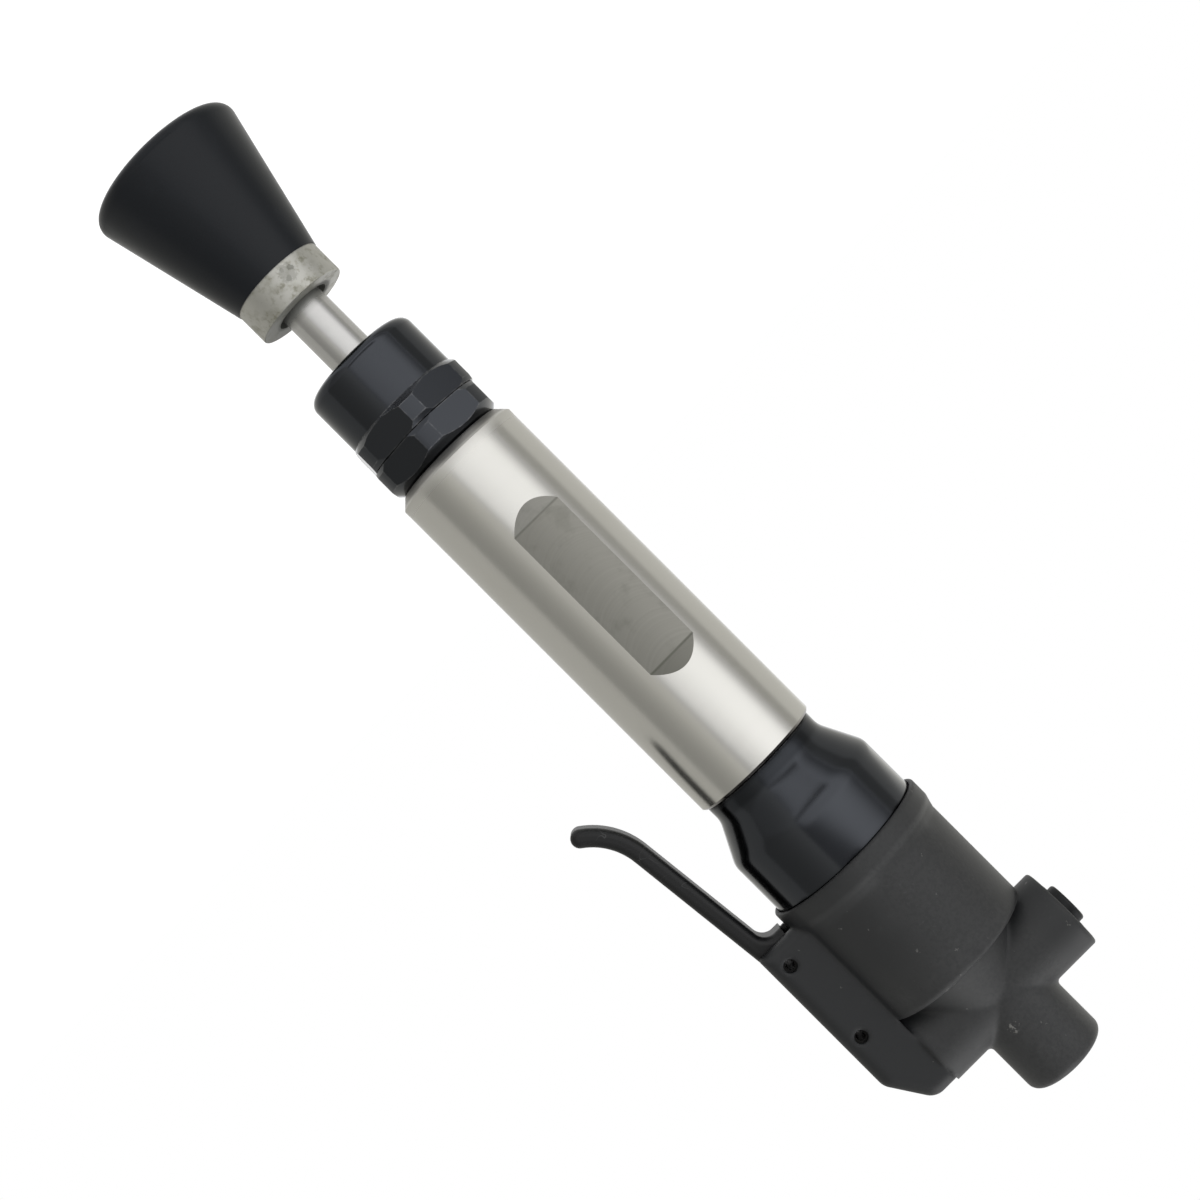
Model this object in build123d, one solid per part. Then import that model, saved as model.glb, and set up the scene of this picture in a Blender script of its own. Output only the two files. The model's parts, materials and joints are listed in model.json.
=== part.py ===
from build123d import *
from math import cos, pi, radians, sin, sqrt, tan
import os

# Hand held pneumatic bench rammer, in millimetres, standing on its butt with the ram home.
# The origin is the centre of the butt's striking face. +Z runs along the tool to the air
# inlet and +X points to the throttle lever.

# Clearances
SEAT_GAP = 0.05  # radial gap of screwed, pressed and bonded cylinders
RUN_GAP = 0.05  # radial gap of a shaft or piston that runs in a bore
SWING_GAP = 0.4  # side gap of the lever and the rocker in their slot
PUSH_GAP = 0.3  # gap between noses that push each other
REACH = 60.0  # length by which a cutting tool overshoots

# Rubber butt and its steel core
BUTT_FACE_RADIUS = 29.1
BUTT_TOP_RADIUS = 16.7
BUTT_HEIGHT = 51.8
BUTT_EDGE_ROUND = 3.6
COLLAR_RADIUS = 16.4
COLLAR_LENGTH = 11.3
COLLAR_EDGE = 0.5
CORE_RADIUS = 11.0
CORE_LENGTH = 33.0
ROD_RECESS_GAP = 2.0
ROD_RECESS_DEPTH = 3.0

# Ram
ROD_RADIUS = 7.75
ROD_SHOWING = 23.7
STUD_RADIUS = 6.0
STUD_LENGTH = 24.0
STUD_SPARE = 2.0
STROKE = 75.0
FRONT_CUSHION = 7.5
BACK_ROOM = 5.0
PISTON_GAP = 0.15
PISTON_FILLET = 1.5
PISTON_EDGE = 1.0
RING_WIDTH = 2.4
RING_DEPTH = 2.0
RING_SPLIT = 0.6
RING_SET_IN = 6.0

# Gland nut and lock nut
SPANNER_SIZE = 42.0
GLAND_RADIUS = 20.65
GLAND_LENGTH = 20.6
GLAND_NOSE_ROUND = 3.6
GLAND_HEX_LENGTH = 9.9
GLAND_HEX_TURNED = 22.8
GLAND_HEX_SLOPE = 2.2
GLAND_TURN = -94.8
LOCK_NUT_LENGTH = 11.1
LOCK_HEX_TURNED = 22.7
LOCK_TAPER_LENGTH = 3.4
LOCK_REAR_RADIUS = 19.1
LOCK_TURN = -87.9
HEX_CHAMFER = 1.5
HEX_CHAMFER_DEPTH = 0.8
NUT_GAP = 0.3
SPIGOT_RADIUS = 17.0
SPIGOT_LENGTH = 24.2

# Rod sealing stack
LIP_LENGTH = 2.5
LIP_GAP = 0.5
PACKING_WALL = 3.7
WIPER_LENGTH = 5.0
WIPER_LIP_LENGTH = 1.6
PACKING_LENGTH = 4.5
PACKING_COUNT = 3
PACKING_EDGE = 0.8
SPACER_LENGTH = 3.0
BUSH_FLANGE_LENGTH = 5.0
HEAD_GASKET_LENGTH = 1.0

# Barrel
BARREL_RADIUS = 23.0
BARREL_LENGTH = 135.5
BARREL_FRONT_CHAMFER = 3.0
BARREL_REAR_CHAMFER = 0.8
BORE_RADIUS = 12.7
TAIL_RADIUS = 19.0
TAIL_LENGTH = 16.8
FLAT_SET_IN = 34.1
FLAT_LENGTH = 58.3
FLAT_RAMP = 5.4
FLAT_TURN = -103.0
PASSAGE_RADIUS = 1.75
PASSAGE_SET_IN = 2.5

# Valve housing
NECK_RADIUS = 21.6
NECK_LENGTH = 5.8
NECK_CHAMFER = 0.6
FLARE_LENGTH = 13.2
FLARE_ROUND = 7.0
HOUSING_RADIUS = 28.3
HOUSING_LENGTH = 19.5
CHEST_RADIUS = 22.5
JOINT_RADIUS = 26.0
JOINT_LENGTH = 11.0
EXHAUST_HOLE_RADIUS = 1.8
EXHAUST_HOLE_COUNT = 8
HOUSING_SEAL_RADIUS = 0.85
HOUSING_SEAL_SET_IN = 4.0

# Distribution valve
CHEST_LENGTH = 18.0
CHEST_WALL = 8.0
CHEST_PORT_RADIUS = 4.0
COVER_LENGTH = 13.5
COVER_WALL = 4.0
COVER_PORT_RADIUS = 5.0
COVER_SIDE_PORT_COUNT = 4
COVER_GROOVE_DEPTH = 2.4
COVER_GROOVE_WIDTH = 5.0
SHUTTLE_RADIUS = 8.9
SHUTTLE_WAIST_RADIUS = 6.0
SHUTTLE_BORE_RADIUS = 2.5
SHUTTLE_LAND = 4.0
SHUTTLE_TRAVEL = 3.0
DOWEL_RADIUS = 1.5
DOWEL_SET_IN = 5.0
COVER_GASKET_LENGTH = 1.0
COVER_GASKET_WALL = 5.0

# Handle casting
RIM_RADIUS = 30.1
RIM_LENGTH = 6.3
RIM_SLOPE = 4.4
RIM_EDGE = 0.7
POCKET_GAP = 0.4
POCKET_DEPTH = 6.3
BODY_RADIUS = 28.9
BODY_LENGTH = 48.7
BODY_EDGE = 2.2
SHOULDER_RADIUS = 22.7
SHOULDER_ROOT = 6.0  # depth of the shoulder cone inside the body
SHOULDER_ANGLE = 27.0
SHOULDER_TIP_RADIUS = 13.0
JUNCTION_ROUND = 2.0
SOCKET_SPARE = 1.0
CLAMP_GAP = 0.5
AIR_CHAMBER_RADIUS = 15.0
AIR_CHAMBER_LENGTH = 26.5
AIR_CHAMBER_ROUND = 4.0
TUBE_RADIUS = 14.7
TUBE_SET_BACK = 13.5
TUBE_REACH = 35.1
TUBE_EDGE = 1.0
CROSS_BORE_RADIUS = 8.5
DELIVERY_RADIUS = 4.0

# Air inlet
INLET_OFFSET = -3.0
INLET_RADIUS = 14.6
INLET_LENGTH = 34.7
INLET_EDGE = 2.9
INLET_THREAD_RADIUS = 7.48
INLET_THREAD_LENGTH = 16.0
INLET_CHAMFER = 1.0
INLET_WAY_RADIUS = 5.8
STRAINER_RADIUS = 6.9
STRAINER_LENGTH = 1.2
STRAINER_HOLE_RADIUS = 0.8
STRAINER_PITCH = 2.4
STRAINER_CIRCLES = 2

# Lever cheeks and pins
CHEEK_HALF_WIDTH = 13.2
CHEEK_FRONT_SET = 5.4
CHEEK_BACK_SET = 11.7
CHEEK_EDGE = 6.2
CHEEK_CUT_ALONG = 14.1
CHEEK_CUT_ACROSS = 9.2
CHEEK_CUT_ROUND = 6.0
CHEEK_BACK_ROUND = 4.5
CHEEK_FRONT_ROUND = 1.0
SLOT_FLOOR_RISE = 0.3
SLOT_BACK_SET = 6.5
PIN_RADIUS = 2.25
PIN_WALL = 0.7
PIN_SPLIT = 0.9
PIN_INSET = 2.4
PIN_HEIGHT = 8.2
LEVER_PIN_SET = 12.6
ROCKER_PIN_SET = 43.4

# Throttle lever
LEVER_WIDTH = 13.0
ARM_THICKNESS = 6.1
ARM_RISE = 6.3
ARM_OFFSET = 2.78
ARM_LENGTH = 56.3
ARM_EDGE_ROUND = 2.4
CURL_RADIUS = 24.0
CURL_ANGLE = 48.2
WEB_FRONT = 9.3
WEB_DEPTH = 5.6
WEB_ROUND = 4.4
WEB_STUB = 18.0
LEVER_BOSS_RADIUS = 5.0
TAIL_NOSE_RADIUS = 2.0
TAIL_NOSE_SET = 14.4

# Throttle rocker
ROCKER_BOSS_RADIUS = 5.2
ROCKER_FRONT_RADIUS = 2.2
ROCKER_FRONT_SET = 15.4
ROCKER_FRONT_DROP = 1.0
ROCKER_REAR_RADIUS = 2.4
ROCKER_REAR_DROP = 1.5

# Throttle valve
PUSH_PIN_RADIUS = 3.0
PUSH_PIN_EDGE = 0.6
GUIDE_LENGTH = 10.2
PIN_SEAL_RADIUS = 0.9
SEAT_LENGTH = 15.0
SEAT_WALL = 3.0
SEAT_HOLE_RADIUS = 5.0
CAGE_RADIUS = 6.6
GUIDE_WALL = 4.0
FACING_RADIUS = 6.6
FACING_LENGTH = 1.5
VALVE_HEAD_LENGTH = 3.5
VALVE_TAIL_RADIUS = 3.4
VALVE_TAIL_LENGTH = 6.0
CAP_RADIUS = 9.3
CAP_THREAD_LENGTH = 11.8
CAP_STEP = 0.4
CAP_HEAD_RADIUS = 6.9
CAP_HEAD_LENGTH = 2.5
CAP_HEAD_EDGE = 1.0
CAP_KEY_SIZE = 6.0
CAP_KEY_DEPTH = 3.0
CAP_RECESS_RADIUS = 6.3
CAP_RECESS_DEPTH = 7.0
CAP_SEAL_RADIUS = 0.8
CAP_SEAL_SET_IN = 3.0
SPRING_WIRE_RADIUS = 0.6
SPRING_RADIUS = 5.0
SPRING_TURNS = 8
SPRING_SAMPLES = 4  # points measured on each quarter turn

# Stations along the tool
collar_back = BUTT_HEIGHT + COLLAR_LENGTH
rod_seat = collar_back - ROD_RECESS_DEPTH
gland_front = collar_back + ROD_SHOWING
hex_front = gland_front + GLAND_LENGTH
hex_back = hex_front + GLAND_HEX_LENGTH
lock_front = hex_back + NUT_GAP
barrel_front = lock_front + LOCK_NUT_LENGTH
spigot_end = hex_back + SPIGOT_LENGTH
lip_back = gland_front + LIP_LENGTH
wiper_back = lip_back + WIPER_LENGTH
packing_back = wiper_back + PACKING_COUNT * PACKING_LENGTH
spacer_back = packing_back + SPACER_LENGTH
flange_back = spigot_end + BUSH_FLANGE_LENGTH
gasket_back = flange_back + HEAD_GASKET_LENGTH
barrel_back = barrel_front + BARREL_LENGTH
tail_end = barrel_back + TAIL_LENGTH
piston_front = gasket_back + FRONT_CUSHION + STROKE
piston_back = tail_end - BACK_ROOM
flare_front = barrel_back + NECK_LENGTH
flare_back = flare_front + FLARE_LENGTH
handle_front = flare_back + HOUSING_LENGTH
pocket_back = handle_front + POCKET_DEPTH
housing_end = pocket_back + JOINT_LENGTH
socket_floor = housing_end + SOCKET_SPARE
shuttle_front = tail_end + CHEST_WALL
chest_back = tail_end + CHEST_LENGTH
cover_back = chest_back + COVER_LENGTH
shuttle_room_back = cover_back - COVER_WALL
shuttle_back = shuttle_room_back - SHUTTLE_TRAVEL
clamp_face = cover_back + COVER_GASKET_LENGTH
exhaust_height = handle_front + POCKET_DEPTH / 2
body_back = handle_front + BODY_LENGTH
throttle_height = body_back + TUBE_SET_BACK
inlet_end = throttle_height + INLET_LENGTH
thread_bottom = inlet_end - INLET_THREAD_LENGTH
strainer_seat = thread_bottom - STRAINER_LENGTH
lever_pin_height = handle_front + LEVER_PIN_SET
rocker_pin_height = handle_front + ROCKER_PIN_SET
cheek_front = handle_front + CHEEK_FRONT_SET
cheek_back = throttle_height + CHEEK_BACK_SET

# Radii and places across the tool
gland_chamber = ROD_RADIUS + PACKING_WALL + SEAT_GAP
passage_circle = (BORE_RADIUS + TAIL_RADIUS) / 2
crease = sqrt(BODY_RADIUS**2 - CHEEK_HALF_WIDTH**2)
slot_floor = BODY_RADIUS + SLOT_FLOOR_RISE
pin_place = slot_floor + PIN_HEIGHT
cheek_edge = pin_place + CHEEK_EDGE
seat_back = slot_floor - GUIDE_LENGTH
seat_face = seat_back - SEAT_LENGTH
cage_front = seat_face + SEAT_WALL
cage_back = seat_back - GUIDE_WALL
cage_middle = (cage_front + cage_back) / 2
head_front = seat_face - FACING_LENGTH
head_back = head_front - VALVE_HEAD_LENGTH
cap_inner = CAP_THREAD_LENGTH - TUBE_REACH
spring_seat = cap_inner - CAP_RECESS_DEPTH
rocker_rear_set = throttle_height - rocker_pin_height
rocker_rear_under = pin_place - ROCKER_REAR_DROP - ROCKER_REAR_RADIUS


STANDING = (Align.CENTER, Align.CENTER, Align.MIN)


def turned(*corners):
    """A solid turned about Z from (radius, height) or (radius, height, rounding) corners."""
    points = [(corner[0], 0, corner[1]) for corner in corners]
    rounds = [corner[2] if len(corner) > 2 else 0 for corner in corners]
    outline = FilletPolyline(*points, radius=rounds, close=True)
    return revolve(make_face(outline), Axis.Z)


def ring(inner, outer, low, high, edge=0):
    """A turned ring between two heights, with its outer edges cut back."""
    if edge == 0:
        return turned((inner, low), (outer, low), (outer, high), (inner, high))
    return turned(
        (inner, low),
        (outer - edge, low),
        (outer, low + edge),
        (outer, high - edge),
        (outer - edge, high),
        (inner, high),
    )


def upright(radius, low, high, x=0.0, y=0.0):
    """A cylinder along Z."""
    return Pos(x, y, low) * Cylinder(radius, high - low, align=STANDING)


def cross(radius, start, end, height=throttle_height):
    """A cylinder along X, on the throttle's axis unless another height is given."""
    return Pos(start, 0, height) * Rot(0, 90, 0) * Cylinder(radius, end - start, align=STANDING)


def cross_turned(*corners):
    """A solid turned about the throttle's axis from (radius, place along X) corners."""
    return Pos(0, 0, throttle_height) * Rot(0, 90, 0) * turned(*corners)


def hexagon(low, high, turn):
    """A hexagonal prism of the spanner size, with a corner at the given angle about Z."""
    outline = RegularPolygon(SPANNER_SIZE / 2, 6, major_radius=False, rotation=turn)
    return extrude(Pos(0, 0, low) * outline, high - low)


def plate(outline, width):
    """A plate of the given width in Y from an outline drawn with X across and Z along the tool."""
    return extrude(Plane.XZ * outline, width / 2, both=True)


def rubber_butt():
    socket_radius = CORE_RADIUS + SEAT_GAP
    return turned(
        (0, 0),
        (BUTT_FACE_RADIUS, 0, BUTT_EDGE_ROUND),
        (BUTT_TOP_RADIUS, BUTT_HEIGHT),
        (socket_radius, BUTT_HEIGHT),
        (socket_radius, BUTT_HEIGHT - CORE_LENGTH),
        (0, BUTT_HEIGHT - CORE_LENGTH),
    )


def butt_core():
    recess_radius = ROD_RADIUS + ROD_RECESS_GAP
    hole_bottom = rod_seat - STUD_LENGTH - STUD_SPARE
    return turned(
        (0, BUTT_HEIGHT - CORE_LENGTH),
        (CORE_RADIUS, BUTT_HEIGHT - CORE_LENGTH),
        (CORE_RADIUS, BUTT_HEIGHT),
        (COLLAR_RADIUS, BUTT_HEIGHT),
        (COLLAR_RADIUS, collar_back, COLLAR_EDGE),
        (recess_radius, collar_back),
        (recess_radius, rod_seat),
        (STUD_RADIUS + SEAT_GAP, rod_seat),
        (STUD_RADIUS + SEAT_GAP, hole_bottom),
        (0, hole_bottom),
    )


def ring_places():
    """Middle heights of the piston's two ring grooves."""
    return piston_front + RING_SET_IN, piston_back - RING_SET_IN


def piston_rod():
    piston_radius = BORE_RADIUS - PISTON_GAP
    rod = turned(
        (0, rod_seat - STUD_LENGTH),
        (STUD_RADIUS, rod_seat - STUD_LENGTH),
        (STUD_RADIUS, rod_seat),
        (ROD_RADIUS, rod_seat),
        (ROD_RADIUS, piston_front, PISTON_FILLET),
        (piston_radius, piston_front, PISTON_EDGE),
        (piston_radius, piston_back, PISTON_EDGE),
        (0, piston_back),
    )
    groove_floor = BORE_RADIUS - RING_DEPTH - 2 * RUN_GAP
    half_width = RING_WIDTH / 2 + RUN_GAP
    for middle in ring_places():
        rod -= ring(groove_floor, BORE_RADIUS + REACH, middle - half_width, middle + half_width)
    return rod


def piston_rings():
    outer = BORE_RADIUS - RUN_GAP
    inner = outer - RING_DEPTH
    rings = []
    for index, middle in enumerate(ring_places()):
        whole = ring(inner, outer, middle - RING_WIDTH / 2, middle + RING_WIDTH / 2)
        split = Pos(outer, 0, middle) * Box(4 * RING_DEPTH, RING_SPLIT, 2 * RING_WIDTH)
        rings.append(whole - Rot(0, 0, 180 * index) * split)
    return Compound(children=rings)


def gland_nut():
    nose = turned(
        (0, gland_front),
        (GLAND_RADIUS, gland_front, GLAND_NOSE_ROUND),
        (GLAND_RADIUS, hex_front),
        (0, hex_front),
    )
    blank = turned(
        (0, hex_front),
        (GLAND_RADIUS, hex_front),
        (GLAND_HEX_TURNED, hex_front + GLAND_HEX_SLOPE),
        (GLAND_HEX_TURNED, hex_back - HEX_CHAMFER),
        (GLAND_HEX_TURNED - HEX_CHAMFER_DEPTH, hex_back),
        (0, hex_back),
    )
    spigot = upright(SPIGOT_RADIUS, hex_front, spigot_end)
    bore = turned(
        (0, gland_front - REACH),
        (ROD_RADIUS + LIP_GAP, gland_front - REACH),
        (ROD_RADIUS + LIP_GAP, lip_back),
        (gland_chamber, lip_back),
        (gland_chamber, spigot_end + REACH),
        (0, spigot_end + REACH),
    )
    return nose + (blank & hexagon(hex_front, hex_back, GLAND_TURN)) + spigot - bore


def lock_nut():
    bore = SPIGOT_RADIUS + SEAT_GAP
    blank = turned(
        (bore, lock_front),
        (LOCK_HEX_TURNED - HEX_CHAMFER_DEPTH, lock_front),
        (LOCK_HEX_TURNED, lock_front + HEX_CHAMFER),
        (LOCK_HEX_TURNED, barrel_front - LOCK_TAPER_LENGTH),
        (LOCK_REAR_RADIUS, barrel_front),
        (bore, barrel_front),
    )
    return blank & hexagon(lock_front, barrel_front, LOCK_TURN)


def rod_wiper():
    inner = ROD_RADIUS + RUN_GAP
    lip = ROD_RADIUS + LIP_GAP
    outer = gland_chamber - SEAT_GAP
    return turned(
        (inner, lip_back),
        (outer, lip_back),
        (outer, wiper_back),
        (lip, wiper_back),
        (lip, lip_back + 2 * WIPER_LIP_LENGTH),
        (inner, lip_back + WIPER_LIP_LENGTH),
    )


def rod_packing():
    inner = ROD_RADIUS + RUN_GAP
    outer = gland_chamber - SEAT_GAP
    rings = []
    for index in range(PACKING_COUNT):
        low = wiper_back + index * PACKING_LENGTH
        rings.append(ring(inner, outer, low, low + PACKING_LENGTH, PACKING_EDGE))
    return Compound(children=rings)


def packing_spacer():
    return ring(ROD_RADIUS + LIP_GAP, gland_chamber - SEAT_GAP, packing_back, spacer_back)


def rod_bush():
    inner = ROD_RADIUS + RUN_GAP
    sleeve = ring(inner, gland_chamber - SEAT_GAP, spacer_back, flange_back)
    return sleeve + ring(inner, SPIGOT_RADIUS, spigot_end, flange_back)


def head_gasket():
    return ring(BORE_RADIUS, SPIGOT_RADIUS, flange_back, gasket_back)


def flat_cutter():
    """One milled spanner flat on the +X side, with a ramp at each end."""
    floor = SPANNER_SIZE / 2
    top = BARREL_RADIUS + REACH
    run = FLAT_RAMP * (top - floor) / (BARREL_RADIUS - floor)
    low = barrel_front + FLAT_SET_IN
    high = low + FLAT_LENGTH
    outline = Polygon((floor, low), (floor, high), (top, high + run), (top, low - run), align=None)
    return plate(outline, 2 * BARREL_RADIUS)


def cylinder_barrel():
    barrel = turned(
        (BORE_RADIUS, gasket_back),
        (SPIGOT_RADIUS + SEAT_GAP, gasket_back),
        (SPIGOT_RADIUS + SEAT_GAP, barrel_front),
        (BARREL_RADIUS - BARREL_FRONT_CHAMFER, barrel_front),
        (BARREL_RADIUS, barrel_front + BARREL_FRONT_CHAMFER),
        (BARREL_RADIUS, barrel_back - BARREL_REAR_CHAMFER),
        (BARREL_RADIUS - BARREL_REAR_CHAMFER, barrel_back),
        (TAIL_RADIUS, barrel_back),
        (TAIL_RADIUS, tail_end),
        (BORE_RADIUS, tail_end),
    )
    port_height = gasket_back + PASSAGE_SET_IN + PASSAGE_RADIUS
    for half_turn in (0, 180):
        barrel -= Rot(0, 0, FLAT_TURN + half_turn) * flat_cutter()
        passage = upright(PASSAGE_RADIUS, port_height, tail_end, passage_circle)
        passage += cross(PASSAGE_RADIUS, 0, passage_circle, port_height)
        barrel -= Rot(0, 0, half_turn) * passage
        barrel -= Rot(0, 0, half_turn + 90) * dowel()
    return barrel


def dowel(slack=SEAT_GAP):
    """One dowel, or its hole when there is slack, on the +X side."""
    low = tail_end - DOWEL_SET_IN
    high = cover_back - DOWEL_RADIUS
    return upright(DOWEL_RADIUS + slack, low, high, passage_circle)


def valve_dowels():
    return Compound(children=[Rot(0, 0, turn) * dowel(0) for turn in (90, 270)])


def valve_housing():
    thread_bore = TAIL_RADIUS + SEAT_GAP
    housing = turned(
        (thread_bore, barrel_back),
        (NECK_RADIUS - NECK_CHAMFER, barrel_back),
        (NECK_RADIUS, barrel_back + NECK_CHAMFER),
        (NECK_RADIUS, flare_front, FLARE_ROUND),
        (HOUSING_RADIUS, flare_back, FLARE_ROUND),
        (HOUSING_RADIUS, pocket_back),
        (JOINT_RADIUS, pocket_back),
        (JOINT_RADIUS, housing_end),
        (CHEST_RADIUS, housing_end),
        (CHEST_RADIUS, tail_end),
        (thread_bore, tail_end),
    )
    for index in range(EXHAUST_HOLE_COUNT):
        hole = cross(EXHAUST_HOLE_RADIUS, SHUTTLE_RADIUS, REACH, exhaust_height)
        housing -= Rot(0, 0, 360 * index / EXHAUST_HOLE_COUNT) * hole
    groove_floor = JOINT_RADIUS + SEAT_GAP - 2 * HOUSING_SEAL_RADIUS
    groove_middle = housing_end - HOUSING_SEAL_SET_IN
    low = groove_middle - HOUSING_SEAL_RADIUS
    high = groove_middle + HOUSING_SEAL_RADIUS
    return housing - ring(groove_floor, JOINT_RADIUS + REACH, low, high)


def housing_seal():
    circle = JOINT_RADIUS + SEAT_GAP - HOUSING_SEAL_RADIUS
    return Pos(0, 0, housing_end - HOUSING_SEAL_SET_IN) * Torus(circle, HOUSING_SEAL_RADIUS)


def valve_chest():
    outer = CHEST_RADIUS - SEAT_GAP
    chest = upright(outer, tail_end, chest_back)
    chest -= upright(CHEST_PORT_RADIUS, tail_end, chest_back)
    chest -= upright(SHUTTLE_RADIUS + RUN_GAP, shuttle_front, chest_back)
    gallery_height = shuttle_front + 2 * PASSAGE_RADIUS
    for half_turn in (0, 180):
        gallery = upright(PASSAGE_RADIUS, tail_end, gallery_height, passage_circle)
        gallery += cross(PASSAGE_RADIUS, 0, passage_circle, gallery_height)
        chest -= Rot(0, 0, half_turn) * gallery
        chest -= Rot(0, 0, half_turn + 90) * dowel()
    return chest


def shuttle_valve():
    return turned(
        (SHUTTLE_BORE_RADIUS, shuttle_front),
        (SHUTTLE_RADIUS, shuttle_front),
        (SHUTTLE_RADIUS, shuttle_front + SHUTTLE_LAND),
        (SHUTTLE_WAIST_RADIUS, shuttle_front + SHUTTLE_LAND),
        (SHUTTLE_WAIST_RADIUS, shuttle_back - SHUTTLE_LAND),
        (SHUTTLE_RADIUS, shuttle_back - SHUTTLE_LAND),
        (SHUTTLE_RADIUS, shuttle_back),
        (SHUTTLE_BORE_RADIUS, shuttle_back),
    )


def valve_cover():
    outer = CHEST_RADIUS - SEAT_GAP
    cover = upright(outer, chest_back, cover_back)
    cover -= upright(COVER_PORT_RADIUS, chest_back, cover_back)
    cover -= upright(SHUTTLE_RADIUS + RUN_GAP, chest_back, shuttle_room_back)
    low = exhaust_height - COVER_GROOVE_WIDTH / 2
    high = exhaust_height + COVER_GROOVE_WIDTH / 2
    cover -= ring(outer - COVER_GROOVE_DEPTH, outer + REACH, low, high)
    for index in range(COVER_SIDE_PORT_COUNT):
        port = cross(EXHAUST_HOLE_RADIUS, 0, outer, exhaust_height)
        cover -= Rot(0, 0, 360 * (index + 0.5) / COVER_SIDE_PORT_COUNT) * port
    for turn in (90, 270):
        cover -= Rot(0, 0, turn) * dowel()
    return cover


def cover_gasket():
    outer = CHEST_RADIUS - CLAMP_GAP
    return ring(outer - COVER_GASKET_WALL, outer, cover_back, clamp_face)


def cheek_block():
    """The two lever cheeks as one block, before the slot is cut."""
    root = crease - CHEEK_HALF_WIDTH
    outline = FilletPolyline(
        (root, cheek_front),
        (cheek_edge, cheek_front),
        (cheek_edge, cheek_back - CHEEK_CUT_ALONG),
        (cheek_edge - CHEEK_CUT_ACROSS, cheek_back),
        (crease, cheek_back),
        (crease, body_back - BODY_EDGE),
        (root, body_back - BODY_EDGE),
        radius=[0, CHEEK_FRONT_ROUND, CHEEK_CUT_ROUND, CHEEK_CUT_ROUND, 0, 0, 0],
        close=True,
    )
    block = plate(make_face(outline), 2 * CHEEK_HALF_WIDTH)
    back_edges = [
        edge
        for edge in block.edges().filter_by(Axis.X)
        if abs(edge.center().Z - cheek_back) < SEAT_GAP
    ]
    return fillet(back_edges, CHEEK_BACK_ROUND)


def casting_top():
    """The shoulder, the cross tube and the inlet boss that stands on it."""
    slope = tan(radians(SHOULDER_ANGLE))
    shoulder_back = body_back + (SHOULDER_RADIUS - SHOULDER_TIP_RADIUS) / slope
    shoulder = turned(
        (0, body_back - SHOULDER_ROOT),
        (SHOULDER_RADIUS + SHOULDER_ROOT * slope, body_back - SHOULDER_ROOT),
        (SHOULDER_TIP_RADIUS, shoulder_back),
        (0, shoulder_back),
    )
    tube = cross_turned(
        (0, -TUBE_REACH),
        (TUBE_RADIUS, -TUBE_REACH, TUBE_EDGE),
        (TUBE_RADIUS, crease),
        (0, crease),
    )
    boss = Pos(INLET_OFFSET, 0, 0) * turned(
        (0, throttle_height),
        (INLET_RADIUS, throttle_height),
        (INLET_RADIUS, inlet_end, INLET_EDGE),
        (0, inlet_end),
    )
    tee = tube + boss
    return shoulder + fillet(new_edges(tube, boss, combined=tee), JUNCTION_ROUND)


def handle_casting():
    rim_back = handle_front + RIM_LENGTH
    body = turned(
        (0, handle_front),
        (RIM_RADIUS, handle_front, RIM_EDGE),
        (RIM_RADIUS, rim_back, RIM_EDGE),
        (BODY_RADIUS, rim_back + RIM_SLOPE, RIM_EDGE),
        (BODY_RADIUS, body_back, BODY_EDGE),
        (0, body_back),
    )
    slot_height = throttle_height + SLOT_BACK_SET
    slot = Pos(slot_floor, 0, slot_height) * Box(
        REACH,
        LEVER_WIDTH + 2 * SWING_GAP,
        slot_height - handle_front + REACH,
        align=(Align.MIN, Align.CENTER, Align.MAX),
    )
    casting = body + casting_top() + (cheek_block() - slot)
    for height in (lever_pin_height, rocker_pin_height):
        casting -= Pos(pin_place, 0, height) * Rot(90, 0, 0) * Cylinder(PIN_RADIUS, REACH)
    return casting - socket_cavity() - throttle_cavity() - inlet_cavity()


def socket_cavity():
    """Space for the valve housing's joint, the clamp ring left standing, and the air chamber."""
    joint = JOINT_RADIUS + SEAT_GAP
    clamp = CHEST_RADIUS - CLAMP_GAP
    chamber_back = clamp_face + AIR_CHAMBER_LENGTH
    return turned(
        (0, handle_front - REACH),
        (HOUSING_RADIUS + POCKET_GAP, handle_front - REACH),
        (HOUSING_RADIUS + POCKET_GAP, pocket_back + POCKET_GAP),
        (joint, pocket_back + POCKET_GAP),
        (joint, socket_floor),
        (clamp, socket_floor),
        (clamp, clamp_face),
        (AIR_CHAMBER_RADIUS, clamp_face),
        (AIR_CHAMBER_RADIUS, chamber_back, AIR_CHAMBER_ROUND),
        (0, chamber_back),
    )


def throttle_cavity():
    """The stepped bore across the casting and its way down to the air chamber."""
    seal_room = PUSH_PIN_RADIUS + RUN_GAP + 2 * PIN_SEAL_RADIUS
    bore = cross_turned(
        (0, -TUBE_REACH - REACH),
        (CAP_RADIUS + SEAT_GAP, -TUBE_REACH - REACH),
        (CAP_RADIUS + SEAT_GAP, cap_inner),
        (CROSS_BORE_RADIUS, cap_inner),
        (CROSS_BORE_RADIUS, seat_back),
        (seal_room, seat_back),
        (seal_room, seat_back + 2 * PIN_SEAL_RADIUS),
        (PUSH_PIN_RADIUS + RUN_GAP, seat_back + 2 * PIN_SEAL_RADIUS),
        (PUSH_PIN_RADIUS + RUN_GAP, slot_floor + REACH),
        (0, slot_floor + REACH),
    )
    delivery = upright(DELIVERY_RADIUS, clamp_face, throttle_height, cage_middle)
    return bore + delivery


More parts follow.
